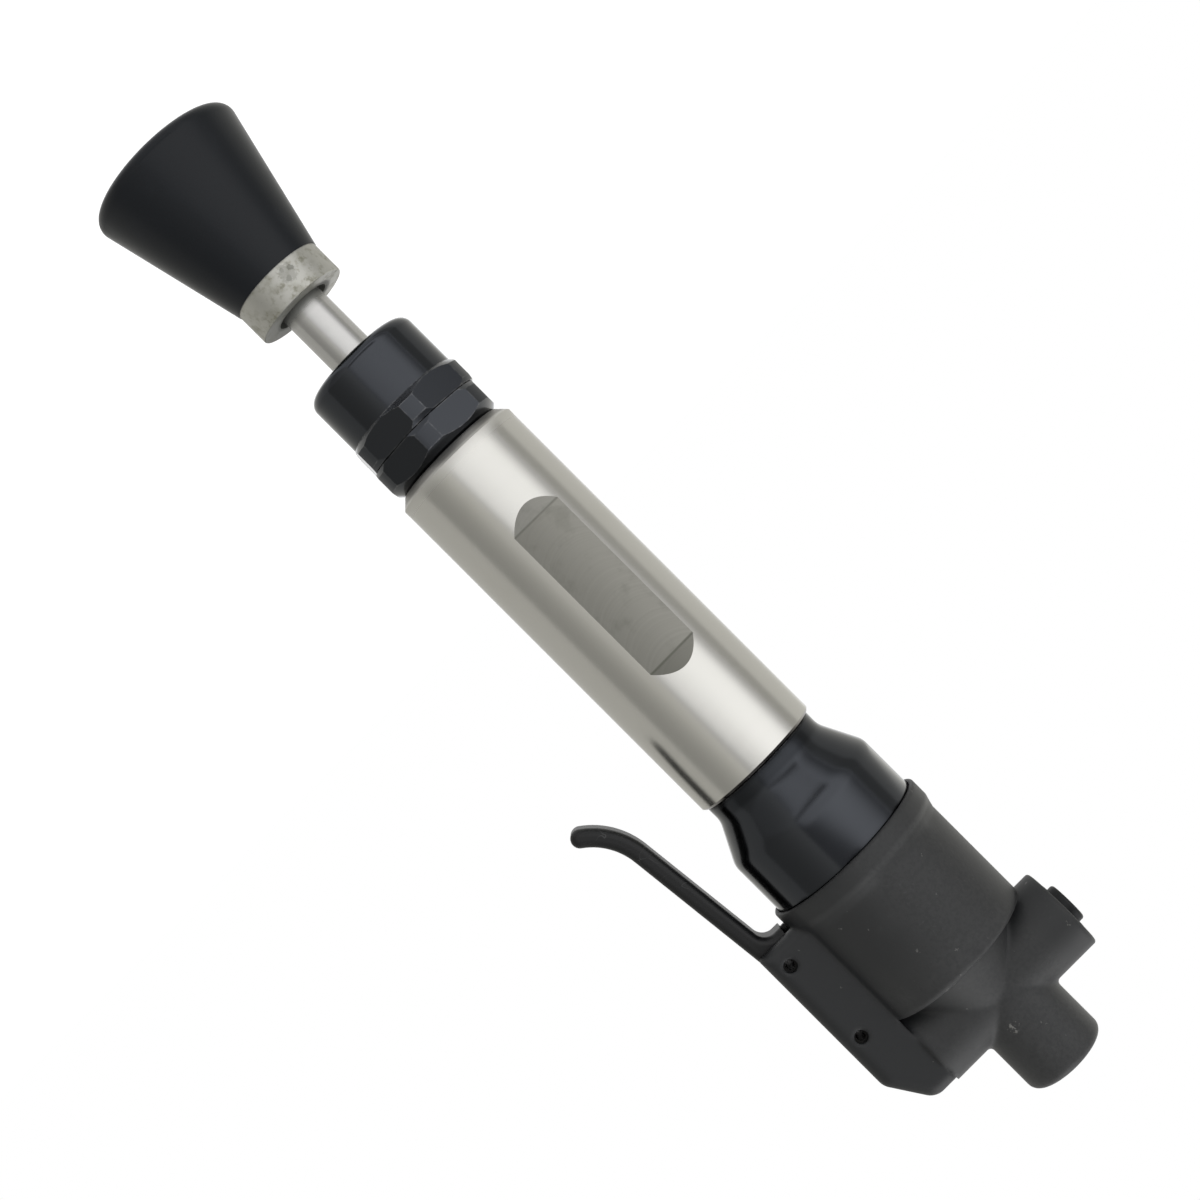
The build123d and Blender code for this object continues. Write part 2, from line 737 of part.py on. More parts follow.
def inlet_cavity():
    mouth = INLET_THREAD_RADIUS + INLET_CHAMFER
    return Pos(INLET_OFFSET, 0, 0) * turned(
        (0, throttle_height),
        (INLET_WAY_RADIUS, throttle_height),
        (INLET_WAY_RADIUS, strainer_seat),
        (STRAINER_RADIUS + SEAT_GAP, strainer_seat),
        (STRAINER_RADIUS + SEAT_GAP, thread_bottom),
        (INLET_THREAD_RADIUS, thread_bottom),
        (INLET_THREAD_RADIUS, inlet_end - INLET_CHAMFER),
        (mouth, inlet_end),
        (mouth, inlet_end + REACH),
        (0, inlet_end + REACH),
    )


def inlet_strainer():
    hole = upright(STRAINER_HOLE_RADIUS, strainer_seat, thread_bottom)
    disc = upright(STRAINER_RADIUS, strainer_seat, thread_bottom) - hole
    for circle in range(1, STRAINER_CIRCLES + 1):
        count = 6 * circle
        for index in range(count):
            disc -= Rot(0, 0, 360 * index / count) * Pos(circle * STRAINER_PITCH, 0, 0) * hole
    return Pos(INLET_OFFSET, 0, 0) * disc


def spring_pin(height):
    """A slotted spring pin across the cheeks, its slot turned towards the butt."""
    length = 2 * (CHEEK_HALF_WIDTH - PIN_INSET)
    pin = Cylinder(PIN_RADIUS, length) - Cylinder(PIN_RADIUS - PIN_WALL, length)
    pin -= Pos(0, PIN_RADIUS, 0) * Box(PIN_SPLIT, 2 * PIN_RADIUS, length)
    return Pos(pin_place, 0, height) * Rot(-90, 0, 0) * pin


def lever_pin():
    return spring_pin(lever_pin_height)


def rocker_pin():
    return spring_pin(rocker_pin_height)


def pin_bore(height):
    return Pos(pin_place, 0, height) * Rot(90, 0, 0) * Cylinder(PIN_RADIUS + RUN_GAP, REACH)


def hull_plate(circles, width):
    """A plate round a row of (x, z, radius) circles."""
    edges = [(Pos(x, z) * Circle(radius)).edge() for x, z, radius in circles]
    return plate(make_hull(edges), width)


def arm_line(ahead):
    """A point on the arm's middle line, that far ahead of the lever pin."""
    return pin_place + ARM_OFFSET + ahead * tan(radians(ARM_RISE)), lever_pin_height - ahead


def lever_arm():
    """The curled arm and the web under its root, with the long edges rounded for the fingers."""
    straight = Line(arm_line(0), arm_line(ARM_LENGTH * cos(radians(ARM_RISE))))
    curl = JernArc(straight @ 1, straight % 1, CURL_RADIUS, CURL_ANGLE)
    half = ARM_THICKNESS / 2 / cos(radians(ARM_RISE))
    web_height = lever_pin_height - WEB_FRONT
    stub_height = lever_pin_height - WEB_STUB
    stub_x = arm_line(WEB_STUB)[0]
    web = FilletPolyline(
        (pin_place - WEB_DEPTH, web_height),
        (arm_line(WEB_FRONT)[0] - half, web_height),
        (stub_x - half, stub_height),
        (stub_x, stub_height),
        arm_line(0),
        (pin_place - LEVER_BOSS_RADIUS, lever_pin_height),
        radius=[0, WEB_ROUND, 0, 0, 0, 0],
        close=True,
    )
    outline = trace(straight, ARM_THICKNESS) + trace(curl, ARM_THICKNESS) + make_face(web)
    outline += Pos(curl @ 1) * Circle(ARM_THICKNESS / 2)
    arm = plate(outline, LEVER_WIDTH)
    long_edges = [
        edge
        for side in (arm.faces().sort_by(Axis.Y)[0], arm.faces().sort_by(Axis.Y)[-1])
        for edge in side.edges()
        if edge.center().Z < web_height + SEAT_GAP
    ]
    return fillet(long_edges, ARM_EDGE_ROUND)


def throttle_lever():
    nose_x = pin_place - ROCKER_FRONT_DROP - ROCKER_FRONT_RADIUS - PUSH_GAP - TAIL_NOSE_RADIUS
    tail = hull_plate(
        [
            (arm_line(0)[0], lever_pin_height, ARM_THICKNESS / 2),
            (pin_place, lever_pin_height, LEVER_BOSS_RADIUS),
            (nose_x, lever_pin_height + TAIL_NOSE_SET, TAIL_NOSE_RADIUS),
        ],
        LEVER_WIDTH,
    )
    return lever_arm() + tail - pin_bore(lever_pin_height)


def throttle_rocker():
    body = hull_plate(
        [
            (pin_place - ROCKER_FRONT_DROP, rocker_pin_height - ROCKER_FRONT_SET, ROCKER_FRONT_RADIUS),
            (pin_place, rocker_pin_height, ROCKER_BOSS_RADIUS),
            (pin_place - ROCKER_REAR_DROP, rocker_pin_height + rocker_rear_set, ROCKER_REAR_RADIUS),
        ],
        LEVER_WIDTH,
    )
    return body - pin_bore(rocker_pin_height)


def throttle_push_pin():
    return cross_turned(
        (0, head_front),
        (PUSH_PIN_RADIUS, head_front),
        (PUSH_PIN_RADIUS, rocker_rear_under - PUSH_GAP, PUSH_PIN_EDGE),
        (0, rocker_rear_under - PUSH_GAP),
    )


def push_pin_seal():
    circle = PUSH_PIN_RADIUS + RUN_GAP + PIN_SEAL_RADIUS
    place = Pos(seat_back + PIN_SEAL_RADIUS, 0, throttle_height)
    return place * Rot(0, 90, 0) * Torus(circle, PIN_SEAL_RADIUS)


def throttle_seat():
    guide = PUSH_PIN_RADIUS + RUN_GAP
    seat = cross_turned(
        (SEAT_HOLE_RADIUS, seat_face),
        (CROSS_BORE_RADIUS - SEAT_GAP, seat_face),
        (CROSS_BORE_RADIUS - SEAT_GAP, seat_back),
        (guide, seat_back),
        (guide, cage_back),
        (CAGE_RADIUS, cage_back),
        (CAGE_RADIUS, cage_front),
        (SEAT_HOLE_RADIUS, cage_front),
    )
    return seat - upright(DELIVERY_RADIUS, throttle_height - REACH, throttle_height, cage_middle)


def valve_facing():
    return cross_turned(
        (PUSH_PIN_RADIUS + SEAT_GAP, head_front),
        (FACING_RADIUS, head_front),
        (FACING_RADIUS, seat_face),
        (PUSH_PIN_RADIUS + SEAT_GAP, seat_face),
    )


def throttle_valve():
    return cross_turned(
        (0, head_back - VALVE_TAIL_LENGTH),
        (VALVE_TAIL_RADIUS, head_back - VALVE_TAIL_LENGTH),
        (VALVE_TAIL_RADIUS, head_back),
        (FACING_RADIUS, head_back),
        (FACING_RADIUS, head_front),
        (0, head_front),
    )


def least_gap(points, wire_radius, apart):
    """Smallest free gap between stretches of a wire that are at least that many points apart."""
    gaps = [
        (points[i] - points[j]).length - 2 * wire_radius
        for i in range(len(points))
        for j in range(i + apart, len(points))
    ]
    return min(gaps)


def throttle_spring():
    """A coil of quarter turn arcs, each tangent to the last, with both ends ground flat."""
    length = head_back - spring_seat
    quarters = 4 * SPRING_TURNS
    step = (length + 2 * SPRING_WIRE_RADIUS) / quarters
    corners = []
    for index in range(quarters + 1):
        turn = index * pi / 2
        place = spring_seat - SPRING_WIRE_RADIUS + index * step
        height = throttle_height + SPRING_RADIUS * sin(turn)
        corners.append(Vector(place, SPRING_RADIUS * cos(turn), height))
    direction = Vector(step, 0, SPRING_RADIUS * pi / 2)
    arcs = []
    for start, end in zip(corners, corners[1:]):
        arcs.append(Edge.make_tangent_arc(start, direction, end))
        direction = arcs[-1] % 1
    section = Plane(arcs[0] @ 0, z_dir=arcs[0] % 0) * Circle(SPRING_WIRE_RADIUS)
    coil = sweep(section, Wire(arcs))
    points = [arc @ (index / SPRING_SAMPLES) for arc in arcs for index in range(SPRING_SAMPLES)]
    gap = least_gap(points, SPRING_WIRE_RADIUS, 2 * SPRING_SAMPLES)
    print("least gap between spring turns", round(gap, 2))
    return coil & cross(CROSS_BORE_RADIUS, spring_seat, head_back)


def throttle_cap():
    head_start = -TUBE_REACH - CAP_STEP
    head_end = head_start - CAP_HEAD_LENGTH
    cap = cross_turned(
        (0, head_end),
        (CAP_HEAD_RADIUS, head_end, CAP_HEAD_EDGE),
        (CAP_HEAD_RADIUS, head_start),
        (CAP_RADIUS, head_start),
        (CAP_RADIUS, cap_inner),
        (CAP_RECESS_RADIUS, cap_inner),
        (CAP_RECESS_RADIUS, spring_seat),
        (0, spring_seat),
    )
    key = extrude(RegularPolygon(CAP_KEY_SIZE / 2, 6, major_radius=False), CAP_KEY_DEPTH)
    cap -= Pos(head_end, 0, throttle_height) * Rot(0, 90, 0) * key
    groove_floor = CAP_RADIUS + SEAT_GAP - 2 * CAP_SEAL_RADIUS
    middle = cap_inner - CAP_SEAL_SET_IN
    return cap - cross_turned(
        (groove_floor, middle - CAP_SEAL_RADIUS),
        (CAP_RADIUS + REACH, middle - CAP_SEAL_RADIUS),
        (CAP_RADIUS + REACH, middle + CAP_SEAL_RADIUS),
        (groove_floor, middle + CAP_SEAL_RADIUS),
    )


def cap_seal():
    circle = CAP_RADIUS + SEAT_GAP - CAP_SEAL_RADIUS
    place = Pos(cap_inner - CAP_SEAL_SET_IN, 0, throttle_height)
    return place * Rot(0, 90, 0) * Torus(circle, CAP_SEAL_RADIUS)


PIECES = (
    rubber_butt,
    butt_core,
    piston_rod,
    piston_rings,
    gland_nut,
    lock_nut,
    rod_wiper,
    rod_packing,
    packing_spacer,
    rod_bush,
    head_gasket,
    cylinder_barrel,
    valve_housing,
    housing_seal,
    valve_chest,
    shuttle_valve,
    valve_cover,
    valve_dowels,
    cover_gasket,
    handle_casting,
    inlet_strainer,
    lever_pin,
    rocker_pin,
    throttle_lever,
    throttle_rocker,
    throttle_push_pin,
    push_pin_seal,
    throttle_seat,
    valve_facing,
    throttle_valve,
    throttle_spring,
    throttle_cap,
    cap_seal,
)

os.makedirs("parts", exist_ok=True)
for piece in PIECES:
    export_step(piece(), f"parts/{piece.__name__}.step")
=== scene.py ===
import json
import math

import bmesh
import bpy
from bpy.props import FloatProperty, FloatVectorProperty, IntProperty, PointerProperty
from mathutils import Matrix, Vector


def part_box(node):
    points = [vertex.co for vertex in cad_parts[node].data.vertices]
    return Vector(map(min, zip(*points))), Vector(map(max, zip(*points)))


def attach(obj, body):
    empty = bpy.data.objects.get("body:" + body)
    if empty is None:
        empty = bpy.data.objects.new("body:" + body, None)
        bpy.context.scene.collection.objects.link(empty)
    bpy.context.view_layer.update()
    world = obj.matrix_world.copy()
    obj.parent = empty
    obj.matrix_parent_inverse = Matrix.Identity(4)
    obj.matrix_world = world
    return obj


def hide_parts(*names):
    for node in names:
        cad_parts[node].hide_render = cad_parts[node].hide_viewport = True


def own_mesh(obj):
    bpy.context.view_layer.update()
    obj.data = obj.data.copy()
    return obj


bl_info = {
    "name": "Pneumatic rammer",
    "version": (1, 0, 0),
    "blender": (4, 5, 0),
    "location": "3D View > Sidebar > Rammer",
    "description": "Finishes, inlet thread, throttle spring and studio for the pneumatic rammer",
    "category": "Object",
}

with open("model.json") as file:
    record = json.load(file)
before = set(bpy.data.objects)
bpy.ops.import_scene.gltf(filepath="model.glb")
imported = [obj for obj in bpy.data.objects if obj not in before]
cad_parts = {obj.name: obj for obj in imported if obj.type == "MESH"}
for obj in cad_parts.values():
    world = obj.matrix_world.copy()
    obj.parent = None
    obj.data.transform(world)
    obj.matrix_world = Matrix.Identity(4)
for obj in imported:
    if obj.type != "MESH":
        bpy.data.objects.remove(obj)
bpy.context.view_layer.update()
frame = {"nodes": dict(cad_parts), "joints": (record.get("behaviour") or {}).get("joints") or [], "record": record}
mounts = {mount["name"]: mount for mount in frame["record"]["mounts"]}

MM = 0.001
WHITE = (1.0, 1.0, 1.0, 1.0)

# Places read from the frame

core_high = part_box("butt_core")[1]
barrel_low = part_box("cylinder_barrel")[0]
neck_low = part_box("valve_housing")[0]
casting_low, casting_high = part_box("handle_casting")
flat_place = Vector(mounts["spanner_flat_near"]["pos_m"])
flat_normal = Vector(mounts["spanner_flat_near"]["axis"])
flat_across = Vector((0, 0, 1)).cross(flat_normal)
inlet_middle = Vector(mounts["air_inlet"]["pos_m"])
inlet_radius = mounts["air_inlet"]["dims"]["r_mm"] * MM
inlet_length = mounts["air_inlet"]["dims"]["length_mm"] * MM
joint_ends = {joint["name"]: joint.get("range_m") for joint in frame["joints"]}
ram_travel = joint_ends["ram_stroke"][1]


# Properties

def colour(name, description, red, green, blue):
    """A colour that a user may change."""
    return FloatVectorProperty(
        name=name,
        description=description,
        subtype="COLOR",
        size=4,
        min=0.0,
        max=1.0,
        default=(red, green, blue, 1.0),
    )


def length(name, description, default):
    """A length in metres that a user may change."""
    return FloatProperty(
        name=name,
        description=description,
        subtype="DISTANCE",
        unit="LENGTH",
        precision=5,
        min=0.0,
        default=default,
    )


def level(name, description, default):
    """A brightness that a user may change."""
    return FloatProperty(name=name, description=description, min=0.0, default=default)


def fraction(name, description, default):
    """A share between 0 and 1 that a user may change."""
    return FloatProperty(
        name=name,
        description=description,
        subtype="FACTOR",
        min=0.0,
        max=1.0,
        default=default,
    )


class RammerColours(bpy.types.PropertyGroup):
    """Colours of the rammer's finishes."""

    rubber: colour("Rubber", "Moulded rubber of the butt", 0.0078, 0.0090, 0.0107)
    rubber_bloom: colour("Rubber bloom", "Paler film on the rubber", 0.0128, 0.0150, 0.0188)
    core: colour("Core steel", "Bare steel of the butt's collar", 0.44, 0.435, 0.405)
    # Dark stains on bare steel; also the colour of painted shade on the flats
    core_stain_and_shade: colour("Core stain", "Dark marks on bare steel", 0.075, 0.078, 0.062)
    # Grey dirt; also the colour of painted shade on the collar and at the rod's root
    core_grime_and_shade: colour("Core grime", "Grey dirt round the rod", 0.115, 0.12, 0.105)
    core_scuff: colour("Core scuff", "Olive mottling of the collar", 0.235, 0.23, 0.175)
    steel: colour("Barrel steel", "Ground steel of the barrel", 0.548, 0.54, 0.513)
    steel_film: colour("Steel film", "Faint tarnish on ground steel", 0.478, 0.465, 0.421)
    rod: colour("Rod steel", "Ground steel of the ram's rod", 0.475, 0.47, 0.46)
    flat: colour("Milled flat", "Milled steel of the spanner flats", 0.263, 0.258, 0.233)
    # Dark milled steel: painted shade on the flats' lever side, and the inlet thread's own colour
    flat_dark_and_shade: colour("Milled flat, dark side", "Flats on the lever side", 0.182, 0.179, 0.161)
    # Brown oil at the barrel's ends, also a painted dark reflection of the nut and neck in its chamfers
    joint_oil_and_reflection: colour("Joint oil", "Brown oil at both ends of the barrel", 0.062, 0.053, 0.050)
    blacking: colour("Blacking", "Glossy black oxide of nuts and neck", 0.046, 0.049, 0.055)
    # Bare steel on rubbed edges; on the nuts also a painted glint along the edges
    bare_edge_and_glint: colour("Bare edge", "Steel where the blacking has rubbed off", 0.30, 0.30, 0.30)
    iron: colour("Cast iron", "Dark finish of the cast handle", 0.0282, 0.0289, 0.0297)
    # Paler iron for rubbed places; also the colour of the painted highlight along the rim's edge
    iron_pale_and_highlight: colour("Rubbed iron", "Paler places on the cast handle", 0.0605, 0.0615, 0.0625)
    iron_bare: colour("Bare iron", "Chipped places that show metal", 0.20, 0.198, 0.19)
    lever: colour("Lever", "Satin black of lever and rocker", 0.0085, 0.0088, 0.0095)
    pin: colour("Pin steel", "Valve parts and the throttle spring", 0.42, 0.41, 0.39)
    # Near black steel of the lever's pins: painted shade of their bores
    pin_bore_shade: colour("Dark pin", "Oiled steel of the lever's pins", 0.016, 0.0155, 0.015)
    bronze: colour("Bronze", "Bush, spacer, seat and strainer", 0.52, 0.33, 0.14)
    bronze_dark: colour("Tarnished bronze", "Tarnish on bronze", 0.22, 0.13, 0.06)
    fibre: colour("Fibre", "Gaskets and rod packing", 0.23, 0.20, 0.15)
    seal: colour("Seal rubber", "Rings of black seal rubber", 0.012, 0.012, 0.013)


class RammerTextures(bpy.types.PropertyGroup):
    """Sizes of the marks on the rammer's surfaces."""

    cast_grain: length("Cast grain", "Size of the sand grain on the casting", 0.9 * MM)
    cast_round: length("Cast corner", "Rounding of the casting's corners", 2.6 * MM)
    edge_width: length("Edge rub", "Width of rubbed edges", 0.45 * MM)
    lathe_pitch: length("Lathe pitch", "Spacing of turned lines", 0.28 * MM)
    mill_radius: length("Mill radius", "Radius of the cutter marks on the flats", 14.0 * MM)
    mill_pitch: length("Mill pitch", "Spacing of the cutter marks on the flats", 0.9 * MM)
    thread_pitch: length("Thread pitch", "Pitch of the inlet thread", 1.337 * MM)
    thread_height: length("Thread height", "Height of the inlet thread's ridge", 0.5 * MM)
    thread_steps: IntProperty(
        name="Thread steps",
        description="Steps in one turn of the inlet thread",
        default=48,
        min=12,
        max=96,
    )


class RammerStudio(bpy.types.PropertyGroup):
    """Camera, lights and floor of the studio."""

    camera_distance: length("Camera distance", "Distance from the tool's axis", 0.628)
    view_width: length("View width", "Width of the picture at the tool's axis", 0.3768)
    view_height: length("View height", "Height of the picture's middle on the tool", 0.1942)
    view_side: length("View side", "How far the picture's middle lies off the axis", 0.0008)
    key_level: level("Key level", "Brightness of the large soft light beside the camera", 1.5)
    tail_level: level("Tail level", "Brightness of the lamp at the inlet end", 1.5)
    back_level: level("Back level", "Brightness of the cards behind the tool", 0.6)
    ambient: level("Ambient", "Brightness of the soft light from all round", 0.30)
    flag_level: level("Flag level", "Brightness of the grey cards that metal reflects", 0.40)
    floor_share: fraction("Floor share", "How solid the pale floor looks to the camera", 0.75)
    floor_echo: fraction("Floor echo", "How solid the floor is in reflections and bounced light", 0.12)


# Shader trees

SOCKETS = {"value": "NodeSocketFloat", "vector": "NodeSocketVector"}


class Nodes:
    """Adds and joins the nodes of one shader tree."""

    def __init__(self, tree):
        self.tree = tree
        tree.nodes.clear()

    def feed(self, socket, value):
        """Join a socket to another one, or set its plain value."""
        if isinstance(value, bpy.types.NodeSocket):
            self.tree.links.new(value, socket)
        else:
            socket.default_value = value

    def add(self, kind, inputs=None, **settings):
        """A new node with its settings made and its inputs fed."""
        node = self.tree.nodes.new("ShaderNode" + kind)
        for name, value in settings.items():
            setattr(node, name, value)
        for name, value in (inputs or {}).items():
            self.feed(node.inputs[name], value)
        return node

    def sockets(self, inputs, outputs):
        """Make a group's sockets, and give its incoming and outgoing ends."""
        for name, kind in inputs.items():
            self.tree.interface.new_socket(name=name, in_out="INPUT", socket_type=SOCKETS[kind])
        for name, kind in outputs.items():
            self.tree.interface.new_socket(name=name, in_out="OUTPUT", socket_type=SOCKETS[kind])
        given = self.tree.nodes.new("NodeGroupInput").outputs
        result = self.tree.nodes.new("NodeGroupOutput").inputs
        return given, result

    def effect(self, name, **inputs):
        """A shared effect's outputs, with the effect fed by this material's own values."""
        node = self.add("Group", node_tree=effect_group(name))
        for key, value in inputs.items():
            self.feed(node.inputs[key], value)
        return node.outputs

    def math(self, operation, first, second=0.0):
        """One sum on two values."""
        node = self.add("Math", operation=operation)
        self.feed(node.inputs[0], first)
        self.feed(node.inputs[1], second)
        return node.outputs["Value"]

    def chain(self, operation, first, *others):
        """One sum carried on through several values."""
        for other in others:
            first = self.math(operation, first, other)
        return first

    def plus(self, *values):
        """The values added up."""
        return self.chain("ADD", *values)

    def minus(self, first, second):
        """The first value less the second."""
        return self.math("SUBTRACT", first, second)

    def times(self, *values):
        """The values multiplied."""
        return self.chain("MULTIPLY", *values)

    def over(self, first, second):
        """The first value divided by the second."""
        return self.math("DIVIDE", first, second)

    def most(self, *values):
        """The highest of the values."""
        return self.chain("MAXIMUM", *values)

    def far_from(self, value, middle):
        """How far a value lies from a middle one, on either side of it."""
        return self.math("ABSOLUTE", self.minus(value, middle))

    def vector(self, operation, first, second, result="Vector"):
        """One sum on two vectors."""
        node = self.add("VectorMath", operation=operation)
        self.feed(node.inputs[0], first)
        self.feed(node.inputs[1], second)
        return node.outputs[result]

    def dot(self, first, second):
        """How far one vector goes along another."""
        return self.vector("DOT_PRODUCT", first, second, "Value")

    def ramp(self, value, low, high, start=0.0, end=1.0):
        """A smooth climb from start at low to end at high."""
        inputs = {"Value": value, "From Min": low, "From Max": high, "To Min": start, "To Max": end}
        return self.add("MapRange", inputs, interpolation_type="SMOOTHSTEP").outputs["Result"]

    def mix(self, share, first, second):
        """Two colours mixed."""
        node = self.add("Mix", data_type="RGBA")
        self.feed(node.inputs["Factor"], share)
        self.feed(node.inputs[6], first)
        self.feed(node.inputs[7], second)
        return node.outputs[2]

    def blend(self, share, first, second):
        """Two values mixed."""
        node = self.add("Mix", data_type="FLOAT")
        self.feed(node.inputs["Factor"], share)
        self.feed(node.inputs[2], first)
        self.feed(node.inputs[3], second)
        return node.outputs[0]

    def mix_shaders(self, share, first, second):
        """Two shaders mixed."""
        node = self.add("MixShader", {"Fac": share})
        self.feed(node.inputs[1], first)
        self.feed(node.inputs[2], second)
        return node.outputs["Shader"]

    def noise(self, vector, scale, detail=2.0, roughness=0.5):
        """Soft noise over the surface."""
        inputs = {"Vector": vector, "Scale": scale, "Detail": detail, "Roughness": roughness}
        return self.add("TexNoise", inputs).outputs["Fac"]

    def lines(self, along, scale, detail=2.0):
        """Noise that changes along one direction only."""
        inputs = {"W": along, "Scale": scale, "Detail": detail}
        return self.add("TexNoise", inputs, noise_dimensions="1D").outputs["Fac"]


# Effects that several finishes share

# The height that noise seldom passes, and about how far it ranges below that
NOISE_TOP = 0.72
NOISE_SPAN = 0.44

# Grains of fine noise in a metre
RUB_GRAIN = 420.0
SPOT_GRAIN = 900.0
MOULD_GRAIN = 1900.0
SATIN_GRAIN = 1500.0
FIBRE_GRAIN = 2600.0
SEAL_GRAIN = 2400.0
IRON_MOTTLE = 700.0
GREASE_EDGE = 300.0


def build_stains(nodes):
    """Cloudy patches that cover about the given share of the surface."""
    given, result = nodes.sockets(
        {"Vector": "vector", "Size": "value", "Share": "value", "Softness": "value"},
        {"Mask": "value"},
    )
    cloud = nodes.noise(given["Vector"], nodes.over(1.0, given["Size"]), 5.0, 0.6)
    low = nodes.minus(NOISE_TOP, nodes.times(given["Share"], NOISE_SPAN))
    high = nodes.plus(low, given["Softness"])
    nodes.feed(result["Mask"], nodes.ramp(cloud, low, high))


def build_turned_lines(nodes):
    """Fine lines left by turning or grinding, with a slower unevenness under them."""
    given, result = nodes.sockets({"Along": "value", "Pitch": "value"}, {"Height": "value"})
    fine = nodes.lines(given["Along"], nodes.over(1.0, given["Pitch"]), 2.0)
    slow = nodes.lines(given["Along"], nodes.over(0.08, given["Pitch"]), 1.0)
    nodes.feed(result["Height"], nodes.blend(0.35, fine, slow))


def build_scratches(nodes):
    """Thin wandering scratches, broken up by a second cloud."""
    given, result = nodes.sockets({"Vector": "vector", "Size": "value"}, {"Mask": "value"})
    scale = nodes.over(1.0, given["Size"])
    path = nodes.noise(given["Vector"], scale, 1.0)
    thin = nodes.ramp(nodes.far_from(path, 0.5), 0.0, 0.006, 1.0, 0.0)
    shifted = nodes.vector("ADD", given["Vector"], (0.31, 0.17, 0.23))
    broken = nodes.ramp(nodes.noise(shifted, scale, 2.0), 0.52, 0.62)
    nodes.feed(result["Mask"], nodes.times(thin, broken))


def build_cast_skin(nodes):
    """Sand cast skin: small bumps on a slow swell, and paler rubbed grains."""
    given, result = nodes.sockets(
        {"Vector": "vector", "Grain": "value"},
        {"Height": "value", "Rubbed": "value"},
    )
    scale = nodes.over(1.0, given["Grain"])
    small = nodes.noise(given["Vector"], scale, 3.0, 0.6)
    slow = nodes.noise(given["Vector"], nodes.times(scale, 0.12), 2.0)
    nodes.feed(result["Height"], nodes.blend(0.55, small, slow))
    high = nodes.ramp(small, 0.55, 0.78)
    patch = nodes.ramp(slow, 0.40, 0.65)
    nodes.feed(result["Rubbed"], nodes.times(high, patch))


def build_edge_rub(nodes):
    """Where an edge or corner is, broken up so that the rub is uneven."""
    given, result = nodes.sockets(
        {"Vector": "vector", "Width": "value", "Turn": "value"},
        {"Mask": "value"},
    )
    rounded = nodes.add("Bevel", {"Radius": given["Width"]}, samples=6).outputs["Normal"]
    true_normal = nodes.add("NewGeometry").outputs["Normal"]
    turn = nodes.minus(1.0, nodes.dot(rounded, true_normal))
    edge = nodes.ramp(nodes.over(turn, given["Turn"]), 0.1, 1.0)
    uneven = nodes.ramp(nodes.noise(given["Vector"], RUB_GRAIN, 3.0, 0.6), 0.36, 0.66)
    nodes.feed(result["Mask"], nodes.times(edge, uneven))


def build_crevice(nodes):
    """How deep in a corner or recess a place lies."""
    given, result = nodes.sockets({"Reach": "value"}, {"Mask": "value"})
    open_share = nodes.add("AmbientOcclusion", {"Distance": given["Reach"]}, samples=6)
    nodes.feed(result["Mask"], nodes.ramp(open_share.outputs["AO"], 0.35, 0.95, 1.0, 0.0))


def build_spot(nodes):
    """A ragged round mark at one place."""
    given, result = nodes.sockets(
        {"Vector": "vector", "Place": "vector", "Radius": "value"},
        {"Mask": "value"},
    )
    reach = nodes.vector("DISTANCE", given["Vector"], given["Place"], "Value")
    ragged = nodes.minus(nodes.noise(given["Vector"], SPOT_GRAIN, 4.0, 0.7), 0.5)
    bent = nodes.plus(nodes.over(reach, given["Radius"]), nodes.times(ragged, 1.6))
    nodes.feed(result["Mask"], nodes.ramp(bent, 0.75, 1.05, 1.0, 0.0))


EFFECTS = {
    "Stains": build_stains,
    "Turned lines": build_turned_lines,
    "Scratches": build_scratches,
    "Cast skin": build_cast_skin,
    "Edge rub": build_edge_rub,
    "Crevice": build_crevice,
    "Spot": build_spot,
}


def effect_group(name):
    """The shader node group of that name, built the first time it is asked for."""
    group = bpy.data.node_groups.get(name)
    if group is None:
        group = bpy.data.node_groups.new(name, "ShaderNodeTree")
        EFFECTS[name](Nodes(group))
    return group


# Finishes

